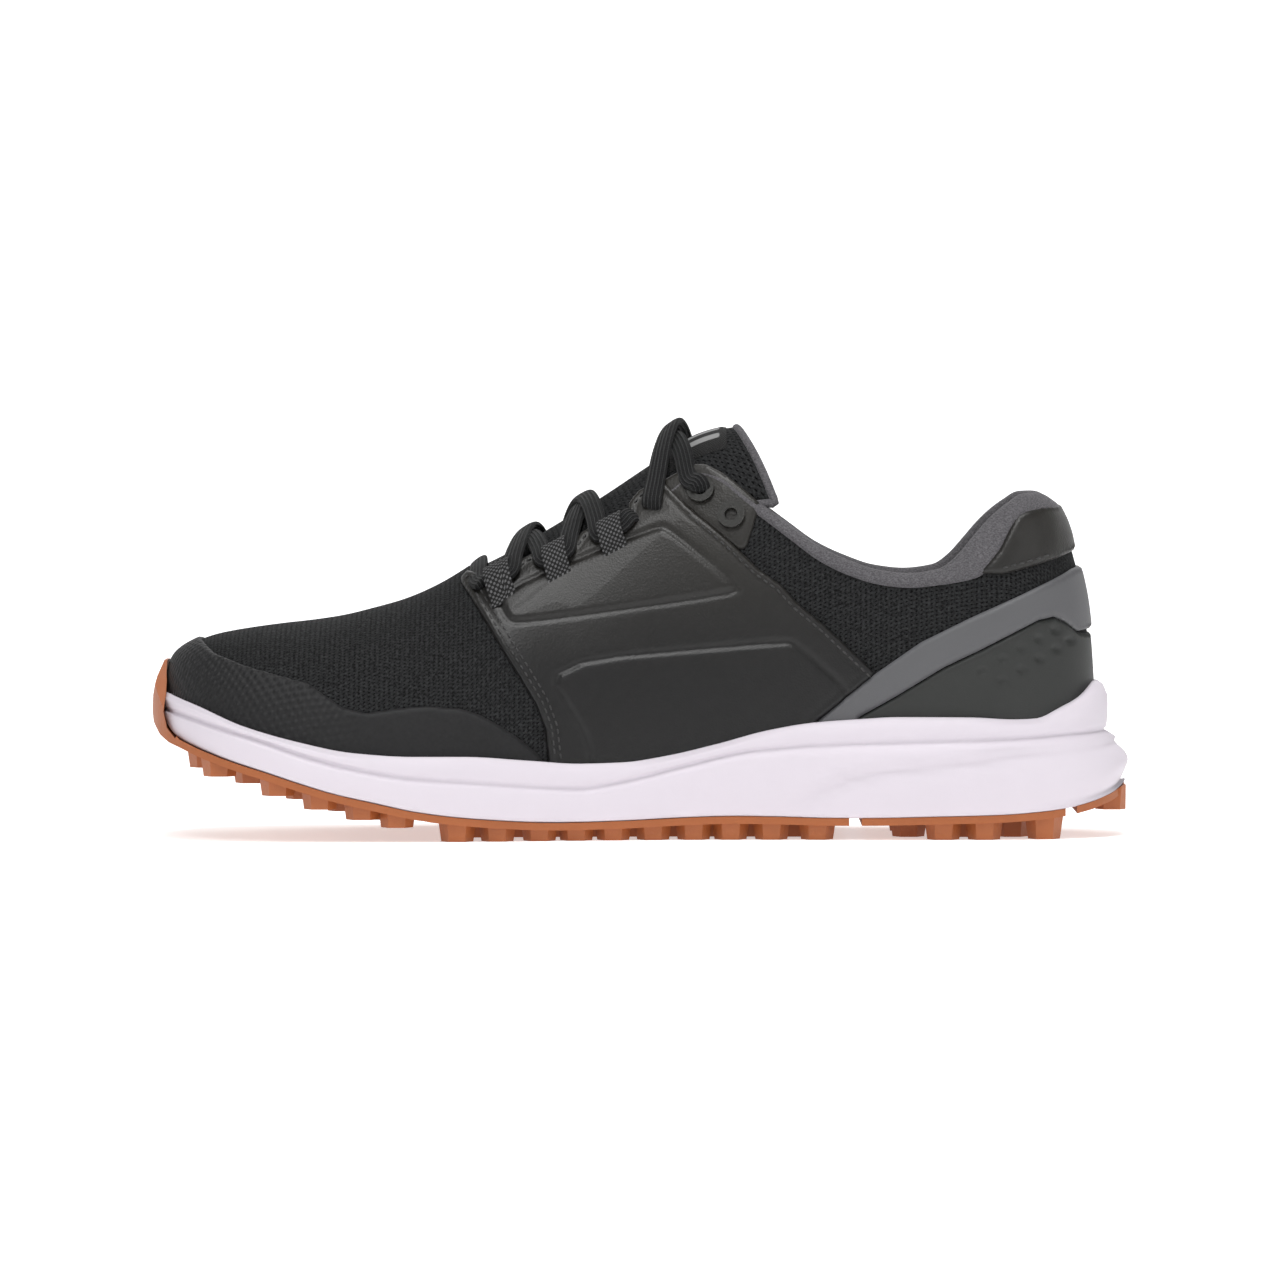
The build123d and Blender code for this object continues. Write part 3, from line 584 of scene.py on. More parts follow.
def hexes(at):
    """Raised cells on a hexagonal lattice, strongest towards the toe."""
    u, v = at.uv
    pitch = 2.5

    def square_distance(shift):
        x, y = u / pitch, v / (pitch * 1.732)
        if shift:
            x, y = x + shift, y + shift
        x, y = x.fract() - 0.5, y.fract() - 0.5
        return x * x + y * y * 3.0

    distance = square_distance(0).min(square_distance(0.5)).sqrt()
    dome = (distance * 2.4).min(1.0) * -1.0
    front = ((u - 88.0) * -0.04).min(1.0).max(0.0)  # fades out over 25 mm, ending at u = 88
    grain = noise(at, scale=900, detail=4)
    return Look(dome * front * 0.8 + grain * 0.12, grain * 0.6,
                color=(0.024, 0.024, 0.025), bump=0.5, rough=0.1)


def leather(at):
    """Fine grain, with a painted highlight that makes it lighter higher up the shoe."""
    height = cells(at, scale=1500) * 0.5 + noise(at, scale=260, detail=5) * 0.5
    wide = noise(at, scale=28, detail=3)
    high = (split(at.tree, at.position)[2] * 22.0 - 1.15).clamp()  # painted highlight, from z = 52 to 98 mm
    return Look(height, high * (wide * 0.9 + 0.2),
                color=(0.024, 0.022, 0.0185), bump=0.12, rough=-0.04)


def speckled(fine, wide, color, bump, rough, share=None, relief=None):
    """Two noises of (scale, detail): fine bumps, and wide patches of a second colour.

    share scales the patches' mask; relief adds the patches to the bump height.
    """
    def pattern(at):
        small, large = noise(at, *fine), noise(at, *wide)
        height = small + large * relief if relief else small
        mask = large * share if share else large
        return Look(height, mask, color, bump, rough)
    return pattern


film = speckled(fine=(1600, 3), wide=(40, 3), color=(0.105, 0.105, 0.110), bump=0.05,
                rough=0.08, share=0.5, relief=0.2)
panel_film = speckled(fine=(1500, 3), wide=(40, 3), color=(0.030, 0.032, 0.030), bump=0.06,
                      rough=0.08, share=0.5)
foam = speckled(fine=(2200, 2), wide=(14, 4), color=(0.58, 0.53, 0.585), bump=0.05,
                rough=0.1, share=0.6)
gum = speckled(fine=(900, 3), wide=(60, 4), color=(0.30, 0.085, 0.022), bump=0.10, rough=0.12)


def knit(at):
    """Small loops in heathered yarn."""
    heather = noise(at, scale=1700, detail=3, stretch=(1, 1, 1.6))
    return Look(cells(at, scale=1150) + heather * 0.5,
                ((heather - 0.36) * 3.0).min(1.0).max(0.0),
                color=(0.135, 0.130, 0.138), bump=0.3, rough=0.0)


def ribs(at):
    """Ribs along the lace, broken by cross threads."""
    u, v = at.uv
    across, along = (v * 5.4).sin(), (u * 5.0).sin()
    return Look(across * 0.6 + (along * across).abs() * 0.3, ((across - 0.72) * 3.0).clamp(),
                color=(0.045, 0.046, 0.046), bump=0.42, rough=0.0)


def ticks(at):
    """Small raised flecks in a checker."""
    u, v = at.uv
    fleck = ((u * 4.2).sin() * (v * 4.0).sin() * 3.0).clamp()
    return Look(fleck, fleck, color=(0.10, 0.10, 0.102), bump=0.3, rough=0.0)


def cloth(at):
    grain = noise(at, scale=900, detail=3)
    return Look(cells(at, scale=1300) + grain, grain,
                color=(0.045, 0.045, 0.048), bump=0.2, rough=0.0)


def badge(at):
    """Two pale bars on a woven ground."""
    u, v = at.uv
    ground = (u * 9.0).sin() * (v * 9.0).sin()
    half_width, half_length = 1.1, 7.0
    # The first term is always zero
    upper = (v.fract() * 0.0 + (v - 2.2).abs() * -1.0 + half_width).clamp()
    lower = ((v + 1.8).abs() * -1.0 + half_width).clamp()
    extent = ((u - 8.6).abs() * -1.0 + half_length).clamp()
    return Look(ground, (upper.max(lower) * extent * 4.0).min(1.0),
                color=(0.30, 0.30, 0.30), bump=0.15, rough=0.0)


MESH = material("open_mesh", color=(0.0014, 0.0014, 0.0015), rough=0.8, pattern=weave,
                specular=0.08)
TOE_FILM = material("toe_film", color=(0.009, 0.009, 0.0094), rough=0.54, pattern=hexes,
                    specular=0.22)
LEATHER = material("synthetic_leather", color=(0.0058, 0.0056, 0.0058), rough=0.42,
                   pattern=leather, specular=0.34, coat=0.06)
BAND_FILM = material("heel_film", color=(0.088, 0.088, 0.093), rough=0.48, pattern=film,
                     specular=0.4)
HEEL_FILM = material("heel_panel_film", color=(0.016, 0.017, 0.016), rough=0.52,
                     pattern=panel_film, specular=0.4)
KNIT = material("collar_knit", color=(0.070, 0.067, 0.072), rough=0.92, pattern=knit,
                sheen=0.12, specular=0.2)
FOAM = material("midsole_foam", color=(0.66, 0.615, 0.67), rough=0.50, pattern=foam,
                specular=0.35)
GUM = material("gum_rubber", color=(0.40, 0.115, 0.030), rough=0.42, pattern=gum,
               specular=0.45)
LACE = material("lace_woven", color=(0.0055, 0.0055, 0.006), rough=0.8, pattern=ribs,
                sheen=0.05, specular=0.25)
WEBBING = material("loop_webbing", color=(0.012, 0.012, 0.012), rough=0.85, pattern=ticks,
                   specular=0.25)
CLOTH = material("lining_cloth", color=(0.012, 0.012, 0.013), rough=0.9, pattern=cloth,
                 sheen=0.05, specular=0.2)
METAL = material("eyelet_metal", color=(0.018, 0.017, 0.015), rough=0.32,
                 pattern=panel_film, metal=0.35)
THREAD = material("thread", color=(0.030, 0.029, 0.026), rough=0.6, pattern=cloth,
                  specular=0.4)
BADGE = material("woven_label", color=(0.012, 0.012, 0.012), rough=0.7, pattern=badge,
                 specular=0.3)


# ------------------------------------------------------------------ upper: mesh layer
def build_upper_mesh():
    step = 1.6
    verts, uvs, faces = surface_grid(step)
    centre = verts[faces].mean(1)
    limit = np.where(centre[:, 0] < -53.5, 999, mesh_line(centre[:, 0]))  # toe stays closed
    faces = faces[centre[:, 2] < limit]
    rim = border(faces, len(verts)) & (verts[:, 0] > -52) & (verts[:, 2] > 70)
    verts[rim, 2] = mesh_line(verts[rim, 0])
    x, y, z = verts[rim].T
    across = y - mid_y(x)
    verts[rim] = np.where((np.abs(across) > 3)[:, None], skin(x, z, np.sign(across)),
                          verts[rim])
    toe_cap = tuple(range(int(GIRTH / step) + 1))
    ob = make("upper_mesh", verts, [*faces, toe_cap], MESH, uvs, shell=True)
    thicken(ob, 1.1, offset=-1)
    fit(ob, "mesh", "vamp_mesh", "quarter_mesh_medial", "quarter_mesh_lateral",
        "vamp_lining", "toe_puff")


# ------------------------------------------------------------------ upper: overlays
# Side-view outlines of (x, z)
TOE = [
    (-164.6, 5.17), (-164.6, 72.11), (-140.26, 64.5), (-134.48, 59.94), (-130.34, 56.59),
    (-121.52, 53.25), (-111.36, 50.51), (-101.14, 47.77), (-96.45, 44.42), (-90.97, 40.77),
    (-84.28, 38.95), (-73.94, 40.47), (-65.2, 41.08), (-55.07, 40.28), (-48.99, 38.34),
    (-42.9, 34.99), (-36.82, 30.91), (-31.8, 26.84), (-28.9, 22.82), (-28.9, 5.17)]
# The saddle's front edge downward, its scalloped top edge rearward, its rear edge downward
FRONT = [
    (-55.16, 78.96), (-54.86, 77.59), (-52.09, 73.78), (-47.16, 66.02), (-41.68, 56.9),
    (-36.82, 49.29), (-31.95, 41.08), (-29.36, 34.08), (-28.3, 24.19), (-28.3, 11.26)]
SCALLOP = [
    (-55.16, 78.96), (-53, 81.12), (-48.99, 80.32), (-45.94, 78.96), (-43.51, 78.5),
    (-41.17, 79.41), (-39.55, 81.85), (-37.58, 83.98), (-35.05, 85.8), (-30.73, 87.63),
    (-27.99, 86.5), (-25.86, 86.71), (-24.34, 87.63), (-22.52, 88.24), (-20.69, 89.45),
    (-19.47, 91.28), (-18.26, 92.95), (-15.3, 95.11), (-11.71, 94.41), (-9.13, 94.02),
    (-7.06, 95.11), (-4.26, 97.36), (-3.65, 100.1), (-3.47, 102.23), (-0.3, 106.19),
    (6.09, 109.23), (7.91, 108.01)]
REAR = [
    (15.67, 100.41), (26.17, 91.89), (36.51, 82.15), (42.9, 77.74), (48.38, 71.81),
    (56.59, 65.11), (71.81, 50.81)]
SADDLE = SCALLOP + REAR + [(53.79, 36.09), (53.79, 11.26)] + FRONT[:0:-1]
UPPER_FIELD = rounded([
    (-44.42, 74.54), (5.17, 95.23), (8.82, 94.32), (29.51, 77.89), (29.21, 75.15),
    (-38.03, 65.42), (-41.08, 66.94)])
LOWER_FIELD = rounded([
    (-30.73, 53.85), (43.51, 60.55), (47.16, 59.94), (66.02, 43.2), (52.94, 31.03),
    (36.21, 11.26), (-14.91, 11.26), (-15.52, 24.34), (-17.04, 32.56)])
EYESTAY = [
    (7, 106.8), (7, 109.23), (14.91, 114.1), (19.78, 114.4), (24.86, 111.97), (30.91, 107.4),
    (36.21, 102.84), (35.9, 100.41), (32.43, 89.45), (30.43, 88.24), (26.17, 91.28),
    (15.67, 100.1)]
HEEL_TAB = [
    (103.66, 81.33), (106.19, 84.58), (109.78, 88.84), (111.97, 93.41), (114.1, 97.48),
    (115.62, 99.19), (117.69, 100.41), (121.4, 101.17), (126.27, 101.62), (142.7, 102.54),
    (142.7, 88.24), (132.75, 87.78), (127.48, 85.8), (121.28, 83.82), (115.31, 82.15),
    (110.45, 80.93)]
HEEL_BAND = [
    (71.81, 50.81), (85.38, 60.24), (99.74, 67.33), (114.1, 73.78), (128.4, 80.32),
    (132.35, 82.45), (145.74, 84.28), (145.74, 63.59), (137.07, 63.74), (133.48, 63.29),
    (129.92, 66.18), (126.27, 68), (121.28, 66.94), (114.1, 63.29), (104.67, 58.42),
    (92.5, 52.64), (78.19, 43.94), (66.63, 37.42), (65.42, 29.51), (51.42, 29.51),
    (53.79, 36.09)]
HEEL_PANEL = [
    (66.63, 37.18), (78.19, 43.63), (92.5, 52.33), (104.67, 58.11), (114.1, 62.98),
    (121.28, 66.63), (126.27, 67.7), (129.92, 65.87), (133.48, 62.98), (137.07, 62.37),
    (145.74, 62.37), (145.74, 23.43), (65.42, 23.43), (65.42, 35.6)]
DIMPLES = [
    (104.36, 51.42), (110.45, 55.07), (116.23, 58.42), (121.4, 61.16), (126.27, 63.74),
    (110.45, 48.38), (116.23, 51.72), (121.7, 55.07), (126.57, 58.11), (130.83, 60.55)]


def saddle_relief(x, z):
    """Two raised fields with a groove round each, and a bead inside the saddle's edge."""
    out = np.zeros_like(x)
    for outline, height in ((UPPER_FIELD, 0.55), (LOWER_FIELD, 0.4)):
        dist = nearest(outline, x, z)[2]
        raised = height * smoothstep(np.clip(dist / 1.8, 0, 1))
        out += np.where(inside(outline, x, z), raised, 0) - 0.62 * bell(dist, 0.85)
    dist = nearest(SADDLE, x, z)[2]
    return out + 0.25 * bell(dist - 0.9, 0.7) - 0.18 * bell(dist - 2.4, 0.6)


def tab_relief(x, z):
    return 0.5 * np.clip(nearest(HEEL_TAB, x, z)[2] / 5, 0, 1)


def dimples(x, z):
    out = np.zeros_like(x)
    for dx, dz in DIMPLES:
        out -= 0.85 * np.exp(-(((x - dx) / 1.5) ** 2 + ((z - dz) / 1.1) ** 2) ** 1.5)
    return out


def build_overlays():
    toe = panel("toe_overlay_skin", TOE, TOE_FILM, step=1.4, thick=1.0, x_hi=-27)
    fit(toe, "toe_film", "toe_overlay")
    for side, word in SIDES:
        saddle = panel(f"saddle_{word}_skin", SADDLE, LEATHER, step=0.75, thick=1.3, x_lo=-57,
                       x_hi=74, side=side, lift=saddle_relief, edge_radius=1.0)
        fit(saddle, "synthetic_leather", f"saddle_{word}")
        stay = panel(f"eyestay_patch_{word}_skin", EYESTAY, LEATHER, step=0.8, thick=0.95,
                     x_lo=4, x_hi=38, side=side, edge_radius=0.9)
        fit(stay, "synthetic_leather", f"eyestay_patch_{word}", part="rearfoot")
    tab = panel("heel_tab_skin", HEEL_TAB, LEATHER, step=0.9, thick=1.3, x_lo=100,
                lift=tab_relief, edge_radius=1.2)
    fit(tab, "synthetic_leather", "heel_tab", part="rearfoot")
    band = panel("heel_band_skin", HEEL_BAND, BAND_FILM, step=0.9, thick=1.6, x_lo=51,
                 edge_radius=1.6)
    fit(band, "heel_film", "heel_band", part="rearfoot")
    heel = panel("heel_panel_skin", HEEL_PANEL, HEEL_FILM, step=0.75, thick=1.0, x_lo=64,
                 lift=dimples)
    fit(heel, "heel_panel_film", "heel_panel", part="rearfoot")


# ------------------------------------------------------------------ stitching
STITCH_PITCH, STITCH_LENGTH, THREAD_RADIUS = 2.5, 1.7, 0.30
# Along one stitch: (share of its length, share of the radius, rise)
STITCH_SHAPE = ((0, 0.3, -0.2), (0.14, 0.9, 0.02), (0.5, 1.0, 0.1), (0.86, 0.9, 0.02),
                (1, 0.3, -0.2))


def stitches(name, lines):
    """Stitches on both sides along side-view lines, each with its offset from the upper."""
    verts, faces = [], []
    for line, off in lines:
        length = cumulative(np.hypot(*np.diff(line, axis=0).T))
        starts = np.arange(STITCH_PITCH / 2, length[-1] - STITCH_LENGTH / 2, STITCH_PITCH)
        for side, _ in SIDES:
            for middle in starts:
                a, b = [skin(np.interp(q, length, line[:, 0]),
                             np.interp(q, length, line[:, 1]), side, off)
                        for q in (middle - STITCH_LENGTH / 2, middle + STITCH_LENGTH / 2)]
                out = normal((a + b) / 2)
                across = np.cross((b - a) / np.linalg.norm(b - a), out)
                start = len(verts)
                for share, width, rise in STITCH_SHAPE:
                    for g in circle_angles(6):
                        ring = across * math.cos(g) + out * math.sin(g)
                        verts.append(a + (b - a) * share + ring * THREAD_RADIUS * width
                                     + out * rise)
                faces += quads(len(STITCH_SHAPE), 6, closed=True, start=start)
    return make(name, verts, faces, THREAD, np.zeros((len(verts), 2)))


def inset(line, distance):
    """A side-view line moved to its left by distance."""
    p = np.asarray(line, float)
    t = np.gradient(p, axis=0)
    t /= np.linalg.norm(t, axis=1, keepdims=True)
    return p + np.stack([-t[:, 1], t[:, 0]], 1) * distance


def build_stitching():
    saddle = stitches("saddle_stitching", [
        (inset(FRONT[2:9], 1.9), 1.42),
        (inset(FRONT[2:9], 3.6), 1.42),
        (inset(rounded(SCALLOP, 1, closed=False), -1.7), 1.5),
        (inset(REAR, -1.9), 1.42)])
    fit(saddle, "synthetic_leather")
    tab_edge = [(110.45, 80.93), (115.31, 82.15), (121.28, 83.82), (125.05, 85.04)]
    tab = stitches("heel_tab_stitching", [(inset(tab_edge, 1.8), 1.7)])
    fit(tab, "synthetic_leather", part="rearfoot")


# ------------------------------------------------------------------ collar and lining
def collar_spokes():
    """Origins and directions of the plan spokes: medial side, round the heel, lateral side."""
    sides_x = np.linspace(8, UPPER_HEEL[0], 70)
    heel_angles = np.linspace(0, np.pi, 57)[1:-1]
    origins = [(x, float(mid_y(x))) for x in sides_x]
    origins += [(UPPER_HEEL[0], 0.3)] * len(heel_angles)
    origins += [(x, float(mid_y(x))) for x in sides_x[::-1]]
    ways = [(0.0, -1.0)] * len(sides_x)
    ways += [(math.sin(a), -math.cos(a)) for a in heel_angles]
    ways += [(0.0, 1.0)] * len(sides_x)
    return np.array(origins), np.array(ways)


def spoke_radius(origins, ways, z_of):
    """Where each spoke meets the upper at height z_of(x), by bisection."""
    lo, hi = np.zeros(len(origins)), np.full(len(origins), 60.0)
    for _ in range(34):
        mid = (lo + hi) / 2
        q = origins + ways * mid[:, None]
        value = field(np.column_stack([q, z_of(q[:, 0])]))
        value = np.where(q[:, 0] > GRID_HEEL, 1.0, value)
        lo, hi = np.where(value < 0, mid, lo), np.where(value < 0, hi, mid)
    return lo


# Collar section from the mesh edge over the top and down inside: (height, outward offset)
COLLAR_ROWS = [
    (shifted(mesh_line, -0.9), 0.15),
    (shifted(mesh_line, -0.2), 0.9),
    (between(mesh_line, top_line, 0.3), 1.35),
    (between(mesh_line, top_line, 0.65), 1.2),
    (shifted(top_line, -0.5), 0.55),
    (shifted(top_line, 0.25), -0.8),
    (shifted(top_line, 0.35), -2.6),
    (shifted(top_line, -0.5), -4.6),
    (shifted(top_line, -3), -6.3),
    (shifted(top_line, -8), -7.2),
    (shifted(top_line, -15), -6.9),
    (shifted(top_line, -24), -6.2),
    (lambda x: np.maximum(top_line(x) - 36, bed_z(x) + 12), -6.1),
    (shifted(bed_z, 9), -6.1),
    (shifted(bed_z, 4.5), -6.1)]
FIRST_CLOTH_ROW = 10


def build_collar():
    origins, ways = collar_spokes()
    # Padding is thinner towards the front
    padding = np.clip((origins[:, 0] + ways[:, 0] * 25 - 10) / 28, 0.32, 1)
    rows = []
    for z_of, off in COLLAR_ROWS:
        radius = spoke_radius(origins, ways, z_of)
        z = z_of((origins + ways * radius[:, None])[:, 0])
        reach = radius + (off * padding if off < 0 else off)
        rows.append(np.column_stack([origins + ways * reach[:, None], z]))
    cols = len(origins)
    uv = np.stack(np.meshgrid(np.arange(cols) * 1.5, np.arange(len(rows)) * 2.0), -1)
    collar = make("padded_collar", np.vstack(rows), quads(len(rows), cols), KNIT,
                  uv.reshape(-1, 2))
    collar.data.materials.append(CLOTH)
    for face in collar.data.polygons:
        if face.index // (cols - 1) >= FIRST_CLOTH_ROW:
            face.material_index = 1
    soft = collar.modifiers.new("soft", "SUBSURF")
    soft.levels = soft.render_levels = 2
    fit(collar, "collar_knit", "collar_lining", "collar_foam", "heel_counter",
        part="rearfoot")


def build_footbed():
    verts = []
    for x in np.linspace(-138, 132.5, 110):
        width = max(float(half_w(x)) - 6.0, 0.6)
        cup = 2.2 * (0.35 if x < -20 else 1)  # rise of the edges, lower in front
        for t in np.linspace(-1, 1, 31):
            verts.append((x, float(mid_y(x)) + t * width,
                          float(bed_z(x)) + 6.6 + cup * abs(t) ** 4))
    bed = make("footbed", verts, quads(110, 31), CLOTH, [v[:2] for v in verts])
    fit(bed, "lining_knit", "insole_topcloth", "insole_foam", "strobel_board")


# ------------------------------------------------------------------ tongue
TONGUE_FRONT = -53


def tongue_half(s):
    """Half width at the share s of the tongue's length from its front end."""
    return 18.5 + 4.5 * s


def tongue_at(x, t, width):
    """Point on the tongue; t runs from -1 (medial edge) to 1 (lateral edge)."""
    mid = float(mid_y(x))
    drop = arch(x, mid)[2] - arch(x, mid + abs(t) * width * 1.06)[2]
    return np.array([x, mid * 0.6 + t * width, float(ridge_z(x)) - drop * 0.92])


def build_tongue():
    rows, cols = 60, 33
    top, under = [], []
    for i in range(rows):
        s = i / (rows - 1)
        for j in range(cols):
            t = -1 + 2 * j / (cols - 1)
            x_end = 29.5 + 11.5 * abs(t) ** 1.7
            x = TONGUE_FRONT + s * (x_end - TONGUE_FRONT)
            width = tongue_half(s)
            p = tongue_at(x, t, width)
            # Full thickness is reached 3 mm in from the sides and the rear edge
            edge = min(1.0, (1 - abs(t)) * width / 3.0, (1 - s) * 80 / 3.0)
            puff = math.sin(math.pi * s) * (1 - t * t)
            out = normal(p)
            top.append(p + out * (0.2 + 0.5 * puff))
            under.append(p - out * (0.6 + 4.6 * math.sqrt(max(0, 1 - (1 - edge) ** 2))))
    top, under = np.array(top), np.array(under)
    uv = [(i * 1.5, j * 1.5) for i in range(rows) for j in range(cols)]
    n, last = rows * cols, (rows - 1) * cols
    face = quads(rows, cols)
    ring = [*range(cols), *(i * cols + cols - 1 for i in range(1, rows)),
            *(last + j for j in range(cols - 2, -1, -1)),
            *(i * cols for i in range(rows - 2, 0, -1))]
    walls = [(a, b, b + n, a + n) for a, b in zip(ring, ring[1:] + ring[:1])]
    tongue = make("tongue_padded", np.vstack([top, under]),
                  face + quads(rows, cols, start=n) + walls, MESH, uv + uv)
    fit(tongue, "mesh", "tongue_face", "tongue_foam", "tongue_lining", part="tongue")

    # Binding up the medial edge, across the rear end and down the lateral edge
    rim = [*(i * cols for i in range(10, rows)), *(last + j for j in range(1, cols)),
           *(i * cols + cols - 1 for i in range(rows - 2, 9, -1))]
    circle = [(1.35 * math.cos(a), 1.35 * math.sin(a)) for a in circle_angles(12)]
    path = smooth_path((top[rim] + under[rim]) / 2, 1.5)
    binding = tube("tongue_binding", [path], circle, KNIT)
    fit(binding, "collar_knit", part="tongue")


def build_label():
    rows, cols, length = 14, 12, 17.5
    verts, uvs = [], []
    for i in range(rows):
        for j in range(cols):
            along = length * i / (rows - 1)
            x = 9 + along
            t = -0.52 + 0.62 * j / (cols - 1)
            p = tongue_at(x, t, tongue_half((x - TONGUE_FRONT) / 84))
            inner = 0 < i < rows - 1 and 0 < j < cols - 1
            verts.append(p + normal(p) * (1.05 if inner else 0.5))
            uvs.append((along, (j - 5.5) * 1.15))
    label = make("tongue_label_woven", verts, quads(rows, cols), BADGE, uvs)
    fit(label, "label", "tongue_label", part="tongue")


# ------------------------------------------------------------------ lacing
LOOPS = [(-43.0, 78.4), (-26.0, 85.2), (-8.8, 93.2)]  # webbing loops, (x, z)
LOOP_SLOPE = 0.47  # rise in z per mm of x along a loop
HOLE, EYE = (3.65, 101.0), (18.8, 106.2)  # front and rear eyelets, (x, z)
# Webbing from its lower end up over the lace: (dx, dz, off the upper)
LOOP_SHAPE = ((1.2, -7.0, 1.25), (1.0, -5.0, 2.1), (0.5, -3.4, 4.2), (0, -0.6, 5.3),
              (-0.2, 2.4, 4.4), (-0.3, 4.0, 1.8), (-0.3, 3.6, -1.2))


def up(z, x=0.0):
    return np.array([x, 0, z])


def crossing(p, q, rise, end_rise=4.6):
    """Points from p to q over the upper: end_rise above it at the ends, rise midway."""
    points = []
    for t in (0.12, 0.25, 0.38, 0.5, 0.62, 0.75, 0.88):
        ends = 1 - math.sin(math.pi * t) ** 0.8
        over = arch(p[0] + (q[0] - p[0]) * t, p[1] + (q[1] - p[1]) * t)
        points.append(over + up(rise + (end_rise - rise) * ends))
    return points


def zigzag(first, rise):
    """Lace from the front loop on side first, back and forth to the rear loops."""
    points = []
    for i, (x, z) in enumerate(LOOPS):
        side = first * (-1) ** i
        through = [skin(x + k, z + LOOP_SLOPE * k, side, 3.0) for k in (-3.2, 0, 3.2)]
        if points:
            points += crossing(points[-1], through[0], rise)
        points += through
    x, z = LOOPS[-1]
    return points + [skin(x + 5.8, z + 4.6, first, 2.0), skin(x + 8.2, z + 6.5, first, -2.6)]


def front_bar(a_lane, b_lane):
    """Straight lace across the front, joining the starts of both zigzags."""
    a, b = a_lane[0], b_lane[0]
    points = [a + (a - a_lane[1]) * 0.35]
    for t in (0.1, 0.25, 0.4, 0.5, 0.6, 0.75, 0.9):
        over = arch(-50.2, a[1] + (b[1] - a[1]) * t)
        points.append(over + up(-1.0 + 4.2 * (1 - math.sin(math.pi * t) ** 0.7)))
    return points + [b + (b - b_lane[1]) * 0.35]


def eyelet_strand(side, rise):
    """Lace out of the front eyelet on one side and into the rear eyelet opposite."""
    eye, hole = skin(*EYE, -side), skin(*HOLE, side)
    eye_out, hole_out = normal(eye), normal(hole)
    over = crossing(hole + hole_out * 4.0 + up(3), eye + eye_out * 4.4 + up(3.0, x=-1.5),
                    rise, 4.8)
    return [hole - hole_out * 3.6, hole, hole + hole_out * 2.6 + up(1.2, x=0.1), *over,
            eye + eye_out * 3.4 + up(1.4, x=-0.6), eye + eye_out * 1.4, eye - eye_out * 3.5]


def build_lace():
    lanes = [zigzag(-1, rise=-1.2), zigzag(1, rise=-3.4)]
    strands = [*lanes, front_bar(*lanes), eyelet_strand(-1, 2.2), eyelet_strand(1, -1.6)]
    # Flat rounded section
    section = [(3.1 * signed_power(math.cos(g), 0.8), 1.15 * signed_power(math.sin(g), 0.8))
               for g in circle_angles(24)]
    lace = tube("flat_lace", [smooth_path(s) for s in strands], section, LACE)
    fit(lace, "lace", "shoelace")


def build_loops():
    for side, word in SIDES:
        verts, faces, uvs = [], [], []
        for x, z in LOOPS:
            strips = []
            for k in np.linspace(-3.9, 3.9, 9):
                cx, cz = x + k * 0.9, z + LOOP_SLOPE * k
                line = [skin(cx + dx, cz + dz, side, off) for dx, dz, off in LOOP_SHAPE]
                strips.append(smooth_path(line, 0.9))
            count = min(len(s) for s in strips)
            start = len(verts)
            for k, strip in enumerate(strips):
                picks = np.linspace(0, len(strip) - 1, count).astype(int)
                verts += list(strip[picks])
                uvs += [(q * 0.9, (k - 4) * 0.95) for q in range(count)]
            faces += quads(len(strips), count, start=start)
        loops = make(f"webbing_loops_{word}", verts, faces, WEBBING, uvs)
        thicken(loops, 0.8, offset=0)
        fit(loops, "webbing", f"lace_loops_{word}")


# ------------------------------------------------------------------ midsole
SOLE_TOE_X, SOLE_HEEL_X = -84, 92  # where the rounded ends start
SOLE_STEPS = 150  # steps along each side


def sole_row(toe, heel, side, heel_side, z_of, push=None):
    """A closed ring: x of both tips, extra half width in front and at the heel, height."""
    x = cosine_spaced(toe, heel, SOLE_STEPS + 1)
    widening = smoothstep(np.clip((x + 20) / 112, 0, 1))
    width = plan_half(x, (SOLE_TOE_X, toe, UPPER_TOE[2] + side, 2.3),
                      (SOLE_HEEL_X, heel, 34 + heel_side, 2.35),
                      waist_half(x) + side + (heel_side - side) * widening)
    medial = np.column_stack([x, mid_y(x) - width])
    lateral = np.column_stack([x, mid_y(x) + width])
    ring = np.vstack([medial, lateral[-2:0:-1]])
    x = np.clip(ring[:, 0], -145.4, 150)
    z = z_of(x)
    if push is not None:
        centre = np.column_stack([ring[:, 0].clip(SOLE_TOE_X, SOLE_HEEL_X),
                                  mid_y(ring[:, 0])])
        ring = ring + unit(ring - centre) * push(x, z)[:, None]
    return np.column_stack([ring, z])


def crease(x, z):
    """Groove along the rear crease, with a swelling above it."""
    near = z - crease_z(x)
    return np.clip((x - 38) / 20, 0, 1) * (-1.3 * bell(near, 1.7) + 0.5 * bell(near - 3.4, 2.0))


